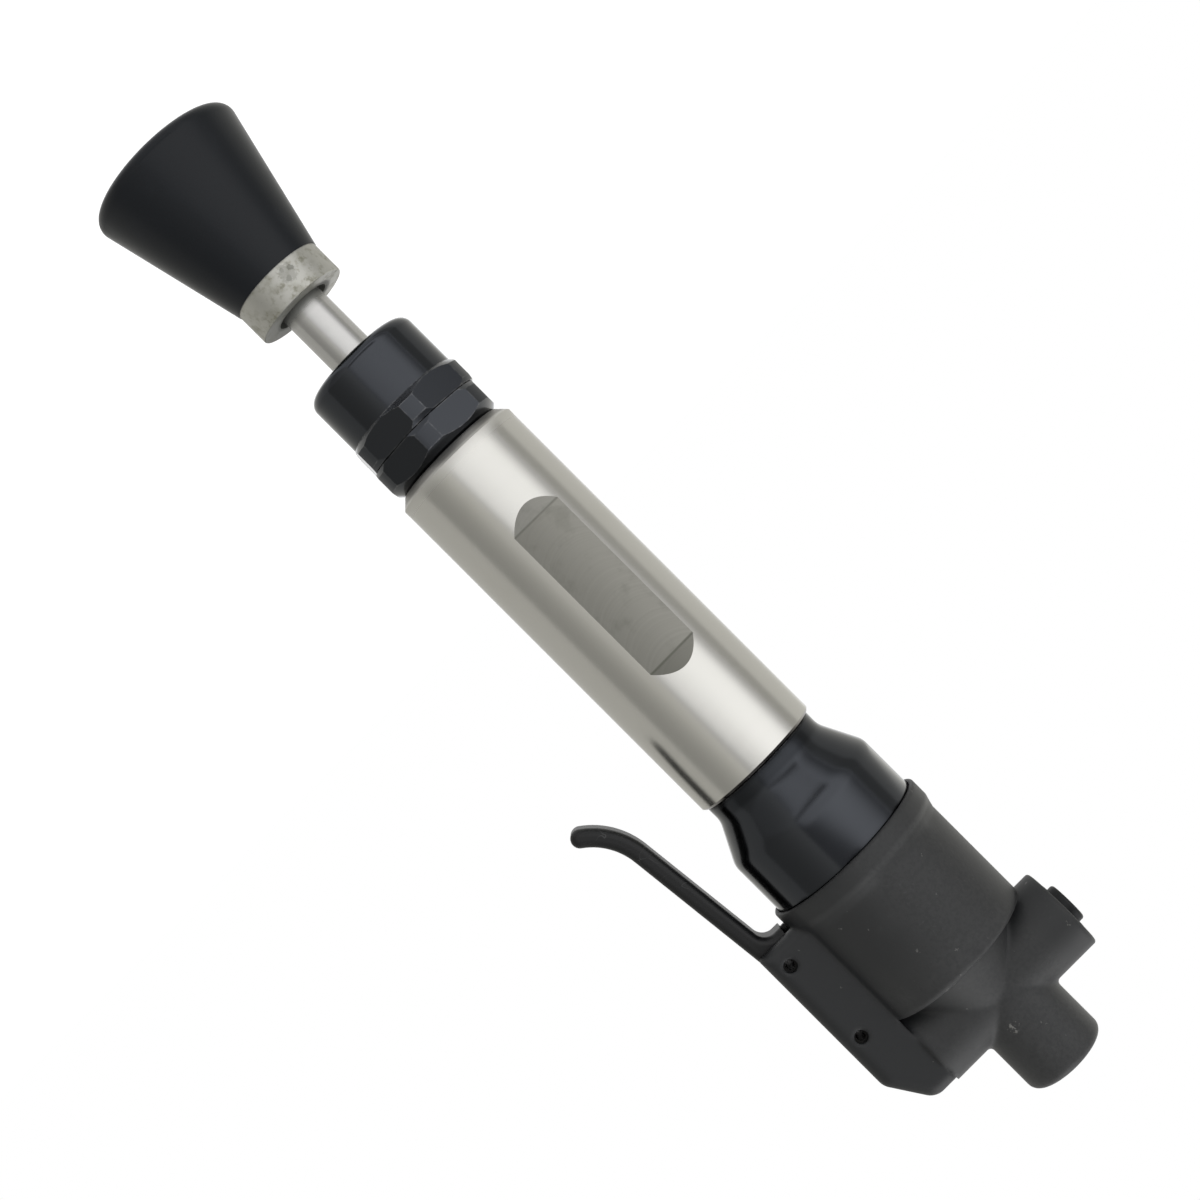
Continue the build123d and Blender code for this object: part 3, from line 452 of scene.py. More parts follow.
class Finish(Nodes):
    """One material: its nodes, the place on the piece, the shared effects there, and its end."""

    def __init__(self, name):
        self.material = bpy.data.materials.new(name)
        self.material.use_nodes = True
        super().__init__(self.material.node_tree)
        self.place = self.add("TexCoord").outputs["Object"]
        apart = self.add("SeparateXYZ", {"Vector": self.place}).outputs
        self.x, self.y, self.z = apart["X"], apart["Y"], apart["Z"]

    def radius(self):
        """Distance from the tool's axis."""
        flat = self.add("CombineXYZ", {"X": self.x, "Y": self.y}).outputs["Vector"]
        return self.vector("LENGTH", flat, (0, 0, 0), "Value")

    def stains(self, size, share, softness, place=None):
        """Mask of cloudy patches."""
        place = self.place if place is None else place
        return self.effect("Stains", Vector=place, Size=size, Share=share, Softness=softness)["Mask"]

    def scratches(self, size):
        """Mask of thin scratches."""
        return self.effect("Scratches", Vector=self.place, Size=size)["Mask"]

    def edge_rub(self, width, turn):
        """Mask of rubbed edges."""
        return self.effect("Edge rub", Vector=self.place, Width=width, Turn=turn)["Mask"]

    def crevice(self, reach):
        """Mask of corners and recesses."""
        return self.effect("Crevice", Reach=reach)["Mask"]

    def spot(self, place, radius):
        """Mask of a ragged mark, with its place and radius in millimetres."""
        place = tuple(part * MM for part in place)
        return self.effect("Spot", Vector=self.place, Place=place, Radius=radius * MM)["Mask"]

    def turned_lines(self, along, pitch):
        """Height of the lines left by turning or grinding."""
        return self.effect("Turned lines", Along=along, Pitch=pitch)["Height"]

    def cast_skin(self, grain):
        """Height of a sand cast skin, and mask of its rubbed grains."""
        skin = self.effect("Cast skin", Vector=self.place, Grain=grain)
        return skin["Height"], skin["Rubbed"]

    def soft_corners(self, radius):
        """A normal that rounds the corners."""
        return self.add("Bevel", {"Radius": radius}, samples=8).outputs["Normal"]

    def bump(self, height, depth, strength, normal=None):
        """A normal from a height between 0 and 1."""
        inputs = {"Height": height, "Distance": depth, "Strength": strength}
        if normal is not None:
            inputs["Normal"] = normal
        return self.add("Bump", inputs).outputs["Normal"]

    def shader(self, sockets):
        """End in a Principled shader with these sockets."""
        shader = self.add("BsdfPrincipled", sockets)
        output = self.add("OutputMaterial", {"Surface": shader.outputs["BSDF"]})
        output.is_active_output = True
        return self.material

    def glow(self, tint, strength):
        """End in plain light."""
        light = self.add("Emission", {"Color": tint, "Strength": strength})
        self.add("OutputMaterial", {"Surface": light.outputs["Emission"]})
        return self.material


def moulded_rubber(colours):
    """Black rubber of the butt with a faint bloom and a fine mould grain."""
    finish = Finish("moulded_rubber")
    bloom = finish.stains(22.0 * MM, 0.5, 0.3)
    scratch = finish.scratches(12.0 * MM)
    grain = finish.noise(finish.place, MOULD_GRAIN, 2.0)
    film = finish.ramp(bloom, 0.0, 1.0, 0.60, 1.0)
    marked = finish.most(film, finish.times(scratch, 0.5))
    return finish.shader({
        "Base Color": finish.mix(marked, colours.rubber, colours.rubber_bloom),
        "Roughness": finish.ramp(bloom, 0.0, 1.0, 0.30, 0.41),
        "Specular IOR Level": 0.175,
        "Normal": finish.bump(grain, 0.06 * MM, 0.35),
    })


# Marks on the collar: place and radius in millimetres, share of stain
COLLAR_SCUFFS = (
    ((-4.0, -16.0, 55.6), 3.2, 0.30),
    ((-5.8, -15.4, 55.0), 1.2, 0.55),
    ((-3.2, -16.2, 57.2), 1.1, 0.50),
    ((-3.2, -16.2, 54.0), 0.9, 0.45),
)


def stained_core(colours, textures):
    """Bare steel collar, mottled and scuffed, with grey dirt and painted shade round the rod, and painted shade in
    its recess and on its rear face.
    """
    finish = Finish("stained_core")
    clouds = finish.stains(5.6 * MM, 0.62, 0.22)
    blots = finish.stains(2.2 * MM, 0.50, 0.16)
    scuff = 0.0
    for place, radius, strength in COLLAR_SCUFFS:
        scuff = finish.most(scuff, finish.times(finish.spot(place, radius), strength))
    # Painted shade: darker deep in the collar's recess
    recess = finish.crevice(6.0 * MM)
    rim = finish.edge_rub(textures.edge_width, 0.06)
    skin = finish.cast_skin(0.6 * MM)[0]

    # Painted shade on the rear face, darker towards the lever side
    on_rear = finish.ramp(finish.z, core_high.z - 0.35 * MM, core_high.z - 0.10 * MM)
    rear_face_shade = finish.times(on_rear, finish.ramp(finish.x, -12.0 * MM, 6.0 * MM, 0.15, 0.50))
    # Grey dirt and painted shade in a ring round the rod
    round_rod = finish.ramp(finish.radius(), 9.5 * MM, 13.5 * MM, 1.0, 0.0)
    grime_and_shade = finish.most(rear_face_shade, finish.times(round_rod, 0.80), finish.times(recess, 0.70))
    mottle = finish.plus(finish.times(clouds, 0.42), finish.times(blots, 0.36))
    clean = finish.mix(mottle, colours.core, colours.core_scuff)
    clean = finish.mix(scuff, clean, colours.core_stain_and_shade)
    clean = finish.mix(finish.times(rim, 0.8), clean, colours.steel)
    return finish.shader({
        "Base Color": finish.mix(grime_and_shade, clean, colours.core_grime_and_shade),
        "Metallic": finish.ramp(grime_and_shade, 0.15, 0.60, 1.0, 0.0),
        "Roughness": finish.ramp(finish.most(mottle, grime_and_shade), 0.0, 0.8, 0.42, 0.70),
        "Normal": finish.bump(skin, 0.10 * MM, 0.7),
    })


def turned_metal(name, textures, base, tarnish, rough, along="Z", tarnished=0.3):
    """Turned or ground metal: fine lines across the axis and a faint tarnish."""
    finish = Finish(name)
    axis = {"X": finish.x, "Z": finish.z}[along]
    lines = finish.turned_lines(axis, textures.lathe_pitch)
    film = finish.stains(16.0 * MM, tarnished, 0.35)
    scratch = finish.scratches(8.0 * MM)
    worn = finish.most(finish.times(film, 0.6), finish.times(scratch, 0.4))
    dulled = finish.plus(finish.times(lines, 0.10), finish.times(worn, 0.08))
    return finish.shader({
        "Base Color": finish.mix(worn, base, tarnish),
        "Metallic": 1.0,
        "Roughness": finish.plus(dulled, rough),
        "Normal": finish.bump(lines, 0.012 * MM, 0.5),
    })


def ground_rod(colours, textures):
    """Ground rod, with grease and painted shade where it enters the collar."""
    finish = Finish("ground_rod")
    lines = finish.turned_lines(finish.z, textures.lathe_pitch)
    film = finish.stains(16.0 * MM, 0.3, 0.35)
    # Grease and painted shade at the rod's root, with a ragged upper edge
    uneven = finish.times(finish.noise(finish.place, GREASE_EDGE, 3.0), 1.6 * MM)
    above = finish.minus(finish.z, uneven)
    grease_and_shade = finish.ramp(above, core_high.z - 0.8 * MM, core_high.z + 4.2 * MM, 0.80, 0.0)
    clean = finish.mix(finish.times(film, 0.5), colours.rod, colours.steel_film)
    return finish.shader({
        "Base Color": finish.mix(grease_and_shade, clean, colours.core_grime_and_shade),
        "Metallic": finish.ramp(grease_and_shade, 0.2, 0.8, 1.0, 0.2),
        "Roughness": finish.plus(finish.times(lines, 0.03), 0.24),
        "Normal": finish.bump(lines, 0.0012 * MM, 0.3),
    })


# Spanner flats: half the length of the level floor, and of the floor with its sloped ends
FLOOR_HALF = 29.15 * MM
FLAT_HALF = 36.0 * MM


def milled_mask(finish, off_middle):
    """Where the barrel is milled: the floor of a flat and the slopes at its ends."""
    facing = finish.add("NewGeometry").outputs["True Normal"]
    level_share = finish.math("ABSOLUTE", finish.dot(facing, tuple(flat_normal)))
    slope_share = finish.math("ABSOLUTE", finish.dot(facing, (0, 0, 1)))
    reach = finish.math("ABSOLUTE", off_middle)
    within_floor = finish.ramp(reach, FLOOR_HALF, FLOOR_HALF + 0.1 * MM, 1.0, 0.0)
    within_flat = finish.ramp(reach, FLAT_HALF, FLAT_HALF + 0.5 * MM, 1.0, 0.0)
    on_floor = finish.times(finish.ramp(level_share, 0.975, 0.985), within_floor)
    on_slope = finish.times(finish.ramp(slope_share, 0.15, 0.25), within_flat)
    return finish.most(on_floor, on_slope)


def milled_colour(finish, colours, off_middle, across, swirl):
    """Colour of the flats: painted shade on the lever side, on the rear slope and where the slopes start, a
    painted highlight on the front slope, and cutter marks and stains.
    """
    cloud = finish.stains(8.0 * MM, 0.50, 0.22)
    # Painted shade: the flats darker towards the lever side
    lever_side_shade = finish.ramp(across, -10.0 * MM, 10.0 * MM)
    milled = finish.mix(lever_side_shade, colours.flat, colours.flat_dark_and_shade)
    # Painted highlight on the front slope
    front_slope_highlight = finish.ramp(off_middle, -FLOOR_HALF - 0.2 * MM, -FLOOR_HALF, 1.0, 0.0)
    milled = finish.mix(finish.times(front_slope_highlight, 0.18), milled, colours.steel)
    # Painted shade on the rear slope and in a line where the slopes start
    rear_slope_shade = finish.ramp(off_middle, FLOOR_HALF - 0.5 * MM, FLOOR_HALF)
    from_root = finish.far_from(finish.math("ABSOLUTE", off_middle), FLOOR_HALF)
    root_line_shade = finish.ramp(from_root, 0.1 * MM, 0.7 * MM, 1.0, 0.0)
    shade = finish.plus(finish.times(rear_slope_shade, 0.25), finish.times(root_line_shade, 0.40))
    marks = finish.plus(finish.times(swirl, 0.10), finish.times(cloud, 0.20))
    return finish.mix(finish.most(marks, shade), milled, colours.core_stain_and_shade)


def ground_colour(finish, colours):
    """Colour of the ground barrel, faintly tarnished, with brown oil and a painted dark reflection at both ends.
    """
    film = finish.stains(30.0 * MM, 0.40, 0.40)
    drawn_out = finish.vector("MULTIPLY", finish.place, (1, 1, 0.06))
    streaks = finish.stains(3.5 * MM, 0.45, 0.45, drawn_out)
    worn = finish.plus(finish.times(film, 0.40), finish.times(streaks, 0.30))
    # Brown oil and a painted dark reflection of the nut and the neck on the end chamfers
    front_joint = finish.ramp(finish.z, barrel_low.z + 1.8 * MM, barrel_low.z + 2.6 * MM, 0.45, 0.0)
    rear_joint = finish.ramp(finish.z, neck_low.z - 0.9 * MM, neck_low.z - 0.7 * MM, 0.0, 0.85)
    ground = finish.mix(worn, colours.steel, colours.steel_film)
    return finish.mix(finish.most(front_joint, rear_joint), ground, colours.joint_oil_and_reflection)


def barrel_steel(colours, textures):
    """Ground barrel with milled spanner flats, each with the arcs of the cutter and sloped ends."""
    finish = Finish("ground_barrel")
    off_middle = finish.minus(finish.z, flat_place.z)
    on_flat = milled_mask(finish, off_middle)
    lines = finish.turned_lines(finish.z, textures.lathe_pitch)
    across = finish.dot(finish.place, tuple(flat_across))
    squares = finish.minus(textures.mill_radius ** 2, finish.times(across, across))
    arc = finish.plus(finish.z, finish.math("SQRT", squares))
    swirl = finish.lines(arc, 1.0 / textures.mill_pitch, 2.0)
    ground = ground_colour(finish, colours)
    milled = milled_colour(finish, colours, off_middle, across, swirl)
    front_edge = finish.ramp(finish.z, barrel_low.z + 2.5 * MM, barrel_low.z + 7.0 * MM, 0.45, 0.205)
    ground_rough = finish.plus(finish.times(lines, 0.05), front_edge)
    milled_rough = finish.plus(finish.times(swirl, 0.08), 0.48)
    return finish.shader({
        "Base Color": finish.mix(on_flat, ground, milled),
        "Metallic": 1.0,
        "Roughness": finish.blend(on_flat, ground_rough, milled_rough),
        "Normal": finish.bump(finish.blend(on_flat, lines, swirl), 0.014 * MM, 0.4),
    })


def black_oxide(name, colours, textures, corner_radius):
    """Glossy black oxide on turned steel, with bare edges that are partly a painted glint, soft corners, and
    painted shade in joints and by the barrel.
    """
    finish = Finish(name)
    lines = finish.turned_lines(finish.z, textures.lathe_pitch)
    film = finish.stains(10.0 * MM, 0.4, 0.3)
    # Bare steel on rubbed edges, partly a painted glint along the edges
    rub = finish.edge_rub(textures.edge_width, 0.016)
    # Painted shade: darker in joints and crevices
    joint = finish.crevice(1.6 * MM)
    from_barrel = finish.far_from(finish.z, neck_low.z)
    # Painted shade: a darker band round the neck by the barrel that dims its reflection
    neck_shade_ring = finish.ramp(from_barrel, 4.5 * MM, 6.5 * MM, 0.40, 0.0)
    dark = finish.most(finish.times(joint, 0.4), neck_shade_ring)
    shade = finish.mix(dark, colours.blacking, colours.rubber)
    dull = finish.plus(finish.times(lines, 0.05), finish.times(film, 0.07))
    return finish.shader({
        "Base Color": finish.mix(finish.times(rub, 0.4), shade, colours.bare_edge_and_glint),
        "Metallic": 1.0,
        "Roughness": finish.plus(dull, 0.11),
        "Normal": finish.bump(lines, 0.008 * MM, 0.3, finish.soft_corners(corner_radius)),
    })


# Marks on the casting: place and radius in millimetres
BOSS_CHIP = ((2.0, -13.6, 377.2), 2.0)
PIN_SCUFF = ((38.6, -13.2, 349.3), 1.5)

# Where the casting's rim ends and its inlet boss starts along the tool, and how far from the axis
# its lever block starts
RIM_EDGE = casting_low.z + 6.9 * MM
BOSS_FOOT = casting_high.z - 30.0 * MM
BLOCK_FOOT = 25.6 * MM


def pale_iron(finish, rubbed, stains):
    """Share of paler iron: rubbed grains and edges, stains, a painted highlight along the rim's edge, and the
    inlet boss.
    """
    rub = finish.edge_rub(0.9 * MM, 0.05)
    # Painted highlight: a pale line along the rim's lit edge
    ridge = finish.ramp(finish.far_from(finish.z, RIM_EDGE), 0.2 * MM, 1.9 * MM, 1.0, 0.0)
    ridge = finish.times(ridge, finish.ramp(stains, 0.0, 1.0, 0.5, 1.0))
    highest = finish.most(
        finish.times(rubbed, 0.35),
        finish.times(rub, 0.22),
        finish.times(stains, 0.34),
        finish.times(ridge, 0.85),
    )
    on_boss = finish.ramp(finish.z, BOSS_FOOT, BOSS_FOOT + 5.0 * MM, 0.0, 0.20)
    return finish.plus(highest, on_boss)


def dark_iron(finish):
    """Share of darker iron: painted shade in corners, in the crease at the lever block's foot and on both sides, a
    darker lever block, and small mottles.
    """
    # Painted shade in corners
    corner = finish.crevice(6.0 * MM)
    on_block = finish.ramp(finish.x, BLOCK_FOOT, BLOCK_FOOT + 0.8 * MM, 0.0, 0.74)
    # Painted shade in the crease where the lever block meets the body
    from_crease = finish.far_from(finish.x, BLOCK_FOOT - 0.4 * MM)
    along_body = finish.ramp(finish.z, casting_low.z + 49.0 * MM, casting_low.z + 74.0 * MM, 1.0, 0.0)
    crease = finish.times(finish.ramp(from_crease, 0.2 * MM, 2.4 * MM, 0.8, 0.0), along_body)
    # Painted shade on the lever side and on the far side
    past_rim = finish.ramp(finish.z, casting_low.z + 26.0 * MM, casting_low.z + 42.0 * MM, 1.0, 0.3)
    lever_side_shade = finish.times(finish.ramp(finish.x, -2.0 * MM, 10.0 * MM, 0.0, 0.42), past_rim)
    far_side_shade = finish.ramp(finish.x, -28.0 * MM, -20.0 * MM, 0.34, 0.0)
    mottle = finish.ramp(finish.noise(finish.place, IRON_MOTTLE, 4.0, 0.7), 0.38, 0.58, 0.28, 0.0)
    on_rim = finish.ramp(finish.z, RIM_EDGE - 1.0 * MM, RIM_EDGE, 0.05, 0.0)
    scuff = finish.times(finish.spot(*PIN_SCUFF), 0.5)
    return finish.most(
        finish.times(corner, 0.6), crease, on_block, lever_side_shade, far_side_shade, mottle, on_rim, scuff
    )


def cast_handle(colours, textures):
    """Dark sand cast iron with soft corners, rubbed edges, a painted highlight along the rim, painted shade, and a
    few chips.
    """
    finish = Finish("cast_handle")
    skin, rubbed = finish.cast_skin(textures.cast_grain)
    pale = pale_iron(finish, rubbed, finish.stains(16.0 * MM, 0.5, 0.3))
    body = finish.mix(pale, colours.iron, colours.iron_pale_and_highlight)
    # Painted shade and the darker places go towards the rubber's black
    body = finish.mix(dark_iron(finish), body, colours.rubber)
    flakes = finish.stains(1.5 * MM, 0.50, 0.10)
    specks = finish.stains(4.2 * MM, 0.05, 0.03)
    chips = finish.most(finish.times(finish.spot(*BOSS_CHIP), flakes), finish.times(specks, 0.4))
    return finish.shader({
        "Base Color": finish.mix(chips, body, colours.iron_bare),
        "Metallic": finish.times(chips, 0.5),
        "Roughness": finish.ramp(pale, 0.0, 0.6, 0.52, 0.42),
        "Specular IOR Level": 0.38,
        "Normal": finish.bump(skin, 0.16 * MM, 0.45, finish.soft_corners(textures.cast_round)),
    })


def satin_lever(colours, textures):
    """Satin black steel of lever and rocker with rubbed edges."""
    finish = Finish("satin_lever")
    stains = finish.stains(9.0 * MM, 0.45, 0.3)
    rub = finish.edge_rub(textures.edge_width, 0.09)
    scratch = finish.scratches(7.0 * MM)
    grain = finish.noise(finish.place, SATIN_GRAIN, 3.0)
    bare = finish.most(finish.times(rub, 0.35), finish.times(scratch, 0.15))
    return finish.shader({
        "Base Color": finish.mix(bare, colours.lever, colours.bare_edge_and_glint),
        "Metallic": finish.times(bare, 0.8),
        "Roughness": finish.ramp(stains, 0.0, 1.0, 0.42, 0.54),
        "Specular IOR Level": 0.30,
        "Normal": finish.bump(grain, 0.05 * MM, 0.3),
    })


def shaded_pin(colours):
    """Pins painted near black as the shade of their bores, dull, with faint patches."""
    finish = Finish("shaded_pin")
    film = finish.stains(3.0 * MM, 0.5, 0.3)
    grain = finish.noise(finish.place, SATIN_GRAIN, 3.0)
    return finish.shader({
        "Base Color": finish.mix(film, colours.pin_bore_shade, colours.lever),
        "Roughness": finish.ramp(film, 0.0, 1.0, 0.55, 0.70),
        "Specular IOR Level": 0.12,
        "Normal": finish.bump(grain, 0.04 * MM, 0.3),
    })


def pressed_fibre(colours):
    """Fibre of gaskets and packing with a short matted grain."""
    finish = Finish("pressed_fibre")
    fine = finish.noise(finish.place, FIBRE_GRAIN, 4.0, 0.65)
    stains = finish.stains(6.0 * MM, 0.4, 0.3)
    shade = finish.plus(finish.times(fine, 0.4), finish.times(stains, 0.3))
    return finish.shader({
        "Base Color": finish.mix(shade, colours.fibre, colours.core_stain_and_shade),
        "Roughness": finish.ramp(fine, 0.3, 0.7, 0.78, 0.92),
        "Normal": finish.bump(fine, 0.08 * MM, 0.6),
    })


def seal_rubber(colours):
    """Black rubber of the seal rings."""
    finish = Finish("seal_rubber")
    grain = finish.noise(finish.place, SEAL_GRAIN, 2.0)
    bloom = finish.stains(5.0 * MM, 0.4, 0.3)
    return finish.shader({
        "Base Color": finish.mix(finish.times(bloom, 0.4), colours.seal, colours.rubber_bloom),
        "Roughness": finish.ramp(bloom, 0.0, 1.0, 0.42, 0.55),
        "Normal": finish.bump(grain, 0.03 * MM, 0.3),
    })


def dress(material, *nodes):
    """Give CAD nodes one finish."""
    for name in nodes:
        mesh = frame["nodes"][name].data
        mesh.materials.clear()
        mesh.materials.append(material)


def props(context):
    """The colours and texture sizes that the finishes are made from."""
    return context.scene.rammer_colours, context.scene.rammer_textures


def linked(name, mesh):
    """A new object in the scene with this mesh."""
    data = bpy.data.meshes.new(name)
    mesh.to_mesh(data)
    mesh.free()
    thing = bpy.data.objects.new(name, data)
    bpy.context.scene.collection.objects.link(thing)
    return thing


# Inlet thread

# The inlet thread's ridge: how deep it sits in the wall, and half its crest as a share of the pitch
THREAD_BITE = 0.2 * MM
THREAD_CREST = 0.06


def inlet_thread(textures):
    """A ridge that winds up the wall of the air inlet and fades out at both ends."""
    pitch = textures.thread_pitch
    steps = textures.thread_steps
    bottom = inlet_middle.z - inlet_length / 2 + pitch
    turns = (inlet_length - 2 * pitch) / pitch
    count = int(turns * steps)
    root = inlet_radius + THREAD_BITE
    foot, land = pitch / 2, THREAD_CREST * pitch
    mesh = bmesh.new()
    rows = []
    for step in range(count + 1):
        angle = 2 * math.pi * step / steps
        height = bottom + pitch * step / steps
        fade = min(1.0, step / steps, (count - step) / steps)
        crest = inlet_radius - textures.thread_height * fade
        row = []
        for reach, rise in ((root, -foot), (crest, -land), (crest, land), (root, foot)):
            place = (
                inlet_middle.x + reach * math.cos(angle),
                inlet_middle.y + reach * math.sin(angle),
                height + rise,
            )
            row.append(mesh.verts.new(place))
        rows.append(row)
    for here, there in zip(rows, rows[1:]):
        for side in range(4):
            following = (side + 1) % 4
            mesh.faces.new((here[side], here[following], there[following], there[side]))
    mesh.faces.new(rows[0])
    mesh.faces.new(list(reversed(rows[-1])))
    bmesh.ops.recalc_face_normals(mesh, faces=mesh.faces)
    return linked("inlet_thread", mesh)


# Studio

# The lamp past the inlet: place and size in metres
TAIL_PLACE = Vector((0.20, -0.30, 1.20))
TAIL_SIZE = 0.8

# Grey cards: the setting of their level, its shares at the front and the back edge, and in metres
# their distance beside the axis and the depths and heights between which they stand
CARD_HEIGHTS = (-1.0, 1.4)
CARDS = {
    "flag_lever_side": ("flag_level", (1.95, 0.92), 0.50, (-1.30, -0.10), CARD_HEIGHTS),
    "flag_far_side": ("flag_level", (1.15, 1.15), -0.60, (-0.13, 0.09), CARD_HEIGHTS),
    "back_lever_side": ("back_level", (1.0, 1.0), 0.52, (-0.10, 1.60), CARD_HEIGHTS),
    "back_far_side": ("back_level", (1.25, 1.25), -0.62, (0.09, 1.60), CARD_HEIGHTS),
    "rim_inlet_end": ("back_level", (2.0, 2.0), -0.61, (0.09, 1.60), (0.42, 1.40)),
}


def seen_directly(nodes):
    """1 for rays from the camera, a mirror or glass, and 0 for the rest."""
    path = nodes.add("LightPath").outputs
    return nodes.most(path["Is Camera Ray"], path["Is Glossy Ray"], path["Is Transmission Ray"])


def white_world(scene, studio):
    """White where it is seen, and an even soft light elsewhere."""
    world = bpy.data.worlds.new("white_world")
    world.use_nodes = True
    scene.world = world
    nodes = Nodes(world.node_tree)
    soft = nodes.add("Background", {"Color": WHITE, "Strength": studio.ambient}).outputs["Background"]
    white = nodes.add("Background", {"Color": WHITE, "Strength": 1.0}).outputs["Background"]
    nodes.add("OutputWorld", {"Surface": nodes.mix_shaders(seen_directly(nodes), soft, white)})


def plane(name, across, along):
    """A flat rectangle round the origin, facing up."""
    mesh = bmesh.new()
    corners = [(-across, -along), (across, -along), (across, along), (-across, along)]
    mesh.faces.new([mesh.verts.new((x / 2, y / 2, 0)) for x, y in corners])
    sheet = linked(name, mesh)
    return sheet


# The floor: its side in metres, its gap under the longest stroke, its colour and its own light
FLOOR_SIDE = 14.0
FLOOR_GAP = 5.0 * MM
FLOOR_GREY = (0.82, 0.82, 0.82, 1.0)
FLOOR_GLOW = 0.80


def pale_floor(studio):
    """A pale floor below the longest stroke, with a soft shadow, clear from below."""
    floor = plane("pale_floor", FLOOR_SIDE, FLOOR_SIDE)
    floor.location.z = -(ram_travel + FLOOR_GAP)
    material = bpy.data.materials.new("pale_floor")
    material.use_nodes = True
    nodes = Nodes(material.node_tree)
    clear = nodes.add("BsdfTransparent").outputs["BSDF"]
    matt = nodes.add("BsdfDiffuse", {"Color": FLOOR_GREY}).outputs["BSDF"]
    lift = nodes.times(seen_directly(nodes), FLOOR_GLOW)
    glow = nodes.add("Emission", {"Color": WHITE, "Strength": lift}).outputs["Emission"]
    pale = nodes.add("AddShader")
    nodes.feed(pale.inputs[0], matt)
    nodes.feed(pale.inputs[1], glow)
    in_view = nodes.add("LightPath").outputs["Is Camera Ray"]
    solid = nodes.blend(in_view, studio.floor_echo, studio.floor_share)
    top = nodes.mix_shaders(solid, clear, pale.outputs["Shader"])
    from_below = nodes.add("NewGeometry").outputs["Backfacing"]
    nodes.add("OutputMaterial", {"Surface": nodes.mix_shaders(from_below, top, clear)})
    floor.data.materials.append(material)


# The key card: its width and height and its middle's shift to the side and down, in metres, its
# turn about the tool away from the camera, and how much brighter its inlet part is
KEY_SIZE = (2.7, 2.6)
KEY_SIDE = 0.10
KEY_DROP = 0.20
KEY_BEARING = math.radians(-25.0)
KEY_LIFT = 1.28


def key_fade(finish):
    """Share of full light on the key card: soft rims, cut back at the inlet, with a gap at the gland.

    Places on the card are in metres from its middle.
    """
    across, along = finish.x, finish.y
    skew = finish.plus(across, finish.times(along, 0.21))
    inlet_part = finish.ramp(along, 0.40, 0.50)
    far = finish.blend(inlet_part, finish.ramp(skew, -1.44, -0.62), finish.ramp(skew, -1.40, 0.0))
    cut = finish.plus(skew, finish.times(inlet_part, 0.70))
    slope = finish.ramp(cut, -0.30, 1.10, 1.0, 0.62)
    near = finish.times(slope, finish.ramp(cut, 0.62, 1.06, 1.0, 0.0))
    butt_end = finish.ramp(along, -1.30, -0.90)
    inlet_end = finish.ramp(along, 0.60, 1.20, 1.0, 0.0)
    gap_height = finish.ramp(finish.far_from(along, -0.44), 0.13, 0.19, 1.0, 0.0)
    gap = finish.times(gap_height, finish.ramp(across, -0.60, -0.40))
    return finish.times(far, near, butt_end, inlet_end, finish.minus(1.0, gap))


def soft_box(name, studio):
    """A large soft light along the tool, beside the camera, that fades to grey at its rim."""
    card = plane(name, *KEY_SIZE)
    outward = Vector((math.sin(KEY_BEARING), -math.cos(KEY_BEARING), 0))
    across = Vector((math.cos(KEY_BEARING), math.sin(KEY_BEARING), 0))
    along = Vector((0, 0, 1))
    place = outward + KEY_SIDE * across + Vector((0, 0, studio.view_height - KEY_DROP))
    turn = Matrix((across, along, outward)).transposed().to_4x4()
    card.matrix_world = Matrix.Translation(place) @ turn
    finish = Finish(name)
    bright = finish.ramp(finish.y, 0.31, 0.47, studio.key_level, KEY_LIFT * studio.key_level)
    strength = finish.blend(key_fade(finish), studio.flag_level, bright)
    card.data.materials.append(finish.glow(WHITE, strength))
    hide_from(card, "camera", "shadow")


def hide_from(card, *rays):
    """Keep a card out of these kinds of rays."""
    for ray in rays:
        setattr(card, "visible_" + ray, False)


def side_lamp(name, brightness, place, size):
    """A square lamp that faces the tool's middle."""
    data = bpy.data.lights.new(name, "AREA")
    data.size = size
    data.energy = brightness * math.pi * size * size
    lamp = bpy.data.objects.new(name, data)
    middle = Vector((0, 0, bpy.context.scene.rammer_studio.view_height))
    lamp.location = place
    lamp.rotation_euler = (place - middle).to_track_quat("Z", "Y").to_euler()
    bpy.context.scene.collection.objects.link(lamp)


# Slightly warm paper of the grey cards
CARD_PAPER = (1.0, 0.99, 0.93, 1.0)


def grey_card(name, levels, side, depths, heights):
    """A card that stands beside the tool, graded from front to back, that only gloss shows."""
    front, back = depths
    low, high = heights
    card = plane(name, back - front, high - low)
    facing = -math.copysign(1, side)
    middle = (side, (front + back) / 2, (low + high) / 2)
    turn = Matrix(((0, 0, facing), (facing, 0, 0), (0, 1, 0))).to_4x4()
    card.matrix_world = Matrix.Translation(middle) @ turn
    finish = Finish(name)
    depth = finish.times(finish.x, facing)
    strength = finish.ramp(depth, (front - back) / 2, (back - front) / 2, *levels)
    card.data.materials.append(finish.glow(CARD_PAPER, strength))
    hide_from(card, "camera", "diffuse", "transmission", "volume_scatter", "shadow")


def photo_camera(scene, studio):
    """The camera, level with the tool's middle and rolled so that the tool lies corner to corner."""
    slant = math.sqrt(0.5)
    right, up = Vector((-slant, 0, slant)), Vector((-slant, 0, -slant))
    back = Vector((0, -1, 0))
    data = bpy.data.cameras.new("photo_camera")
    data.sensor_width = 36.0
    data.lens = data.sensor_width * studio.camera_distance / studio.view_width
    camera = bpy.data.objects.new("photo_camera", data)
    middle = Vector((-studio.view_side, 0, studio.view_height))
    turn = Matrix((right, up, back)).transposed().to_4x4()
    camera.matrix_world = Matrix.Translation(middle + studio.camera_distance * back) @ turn
    scene.collection.objects.link(camera)
    scene.camera = camera


# Operators

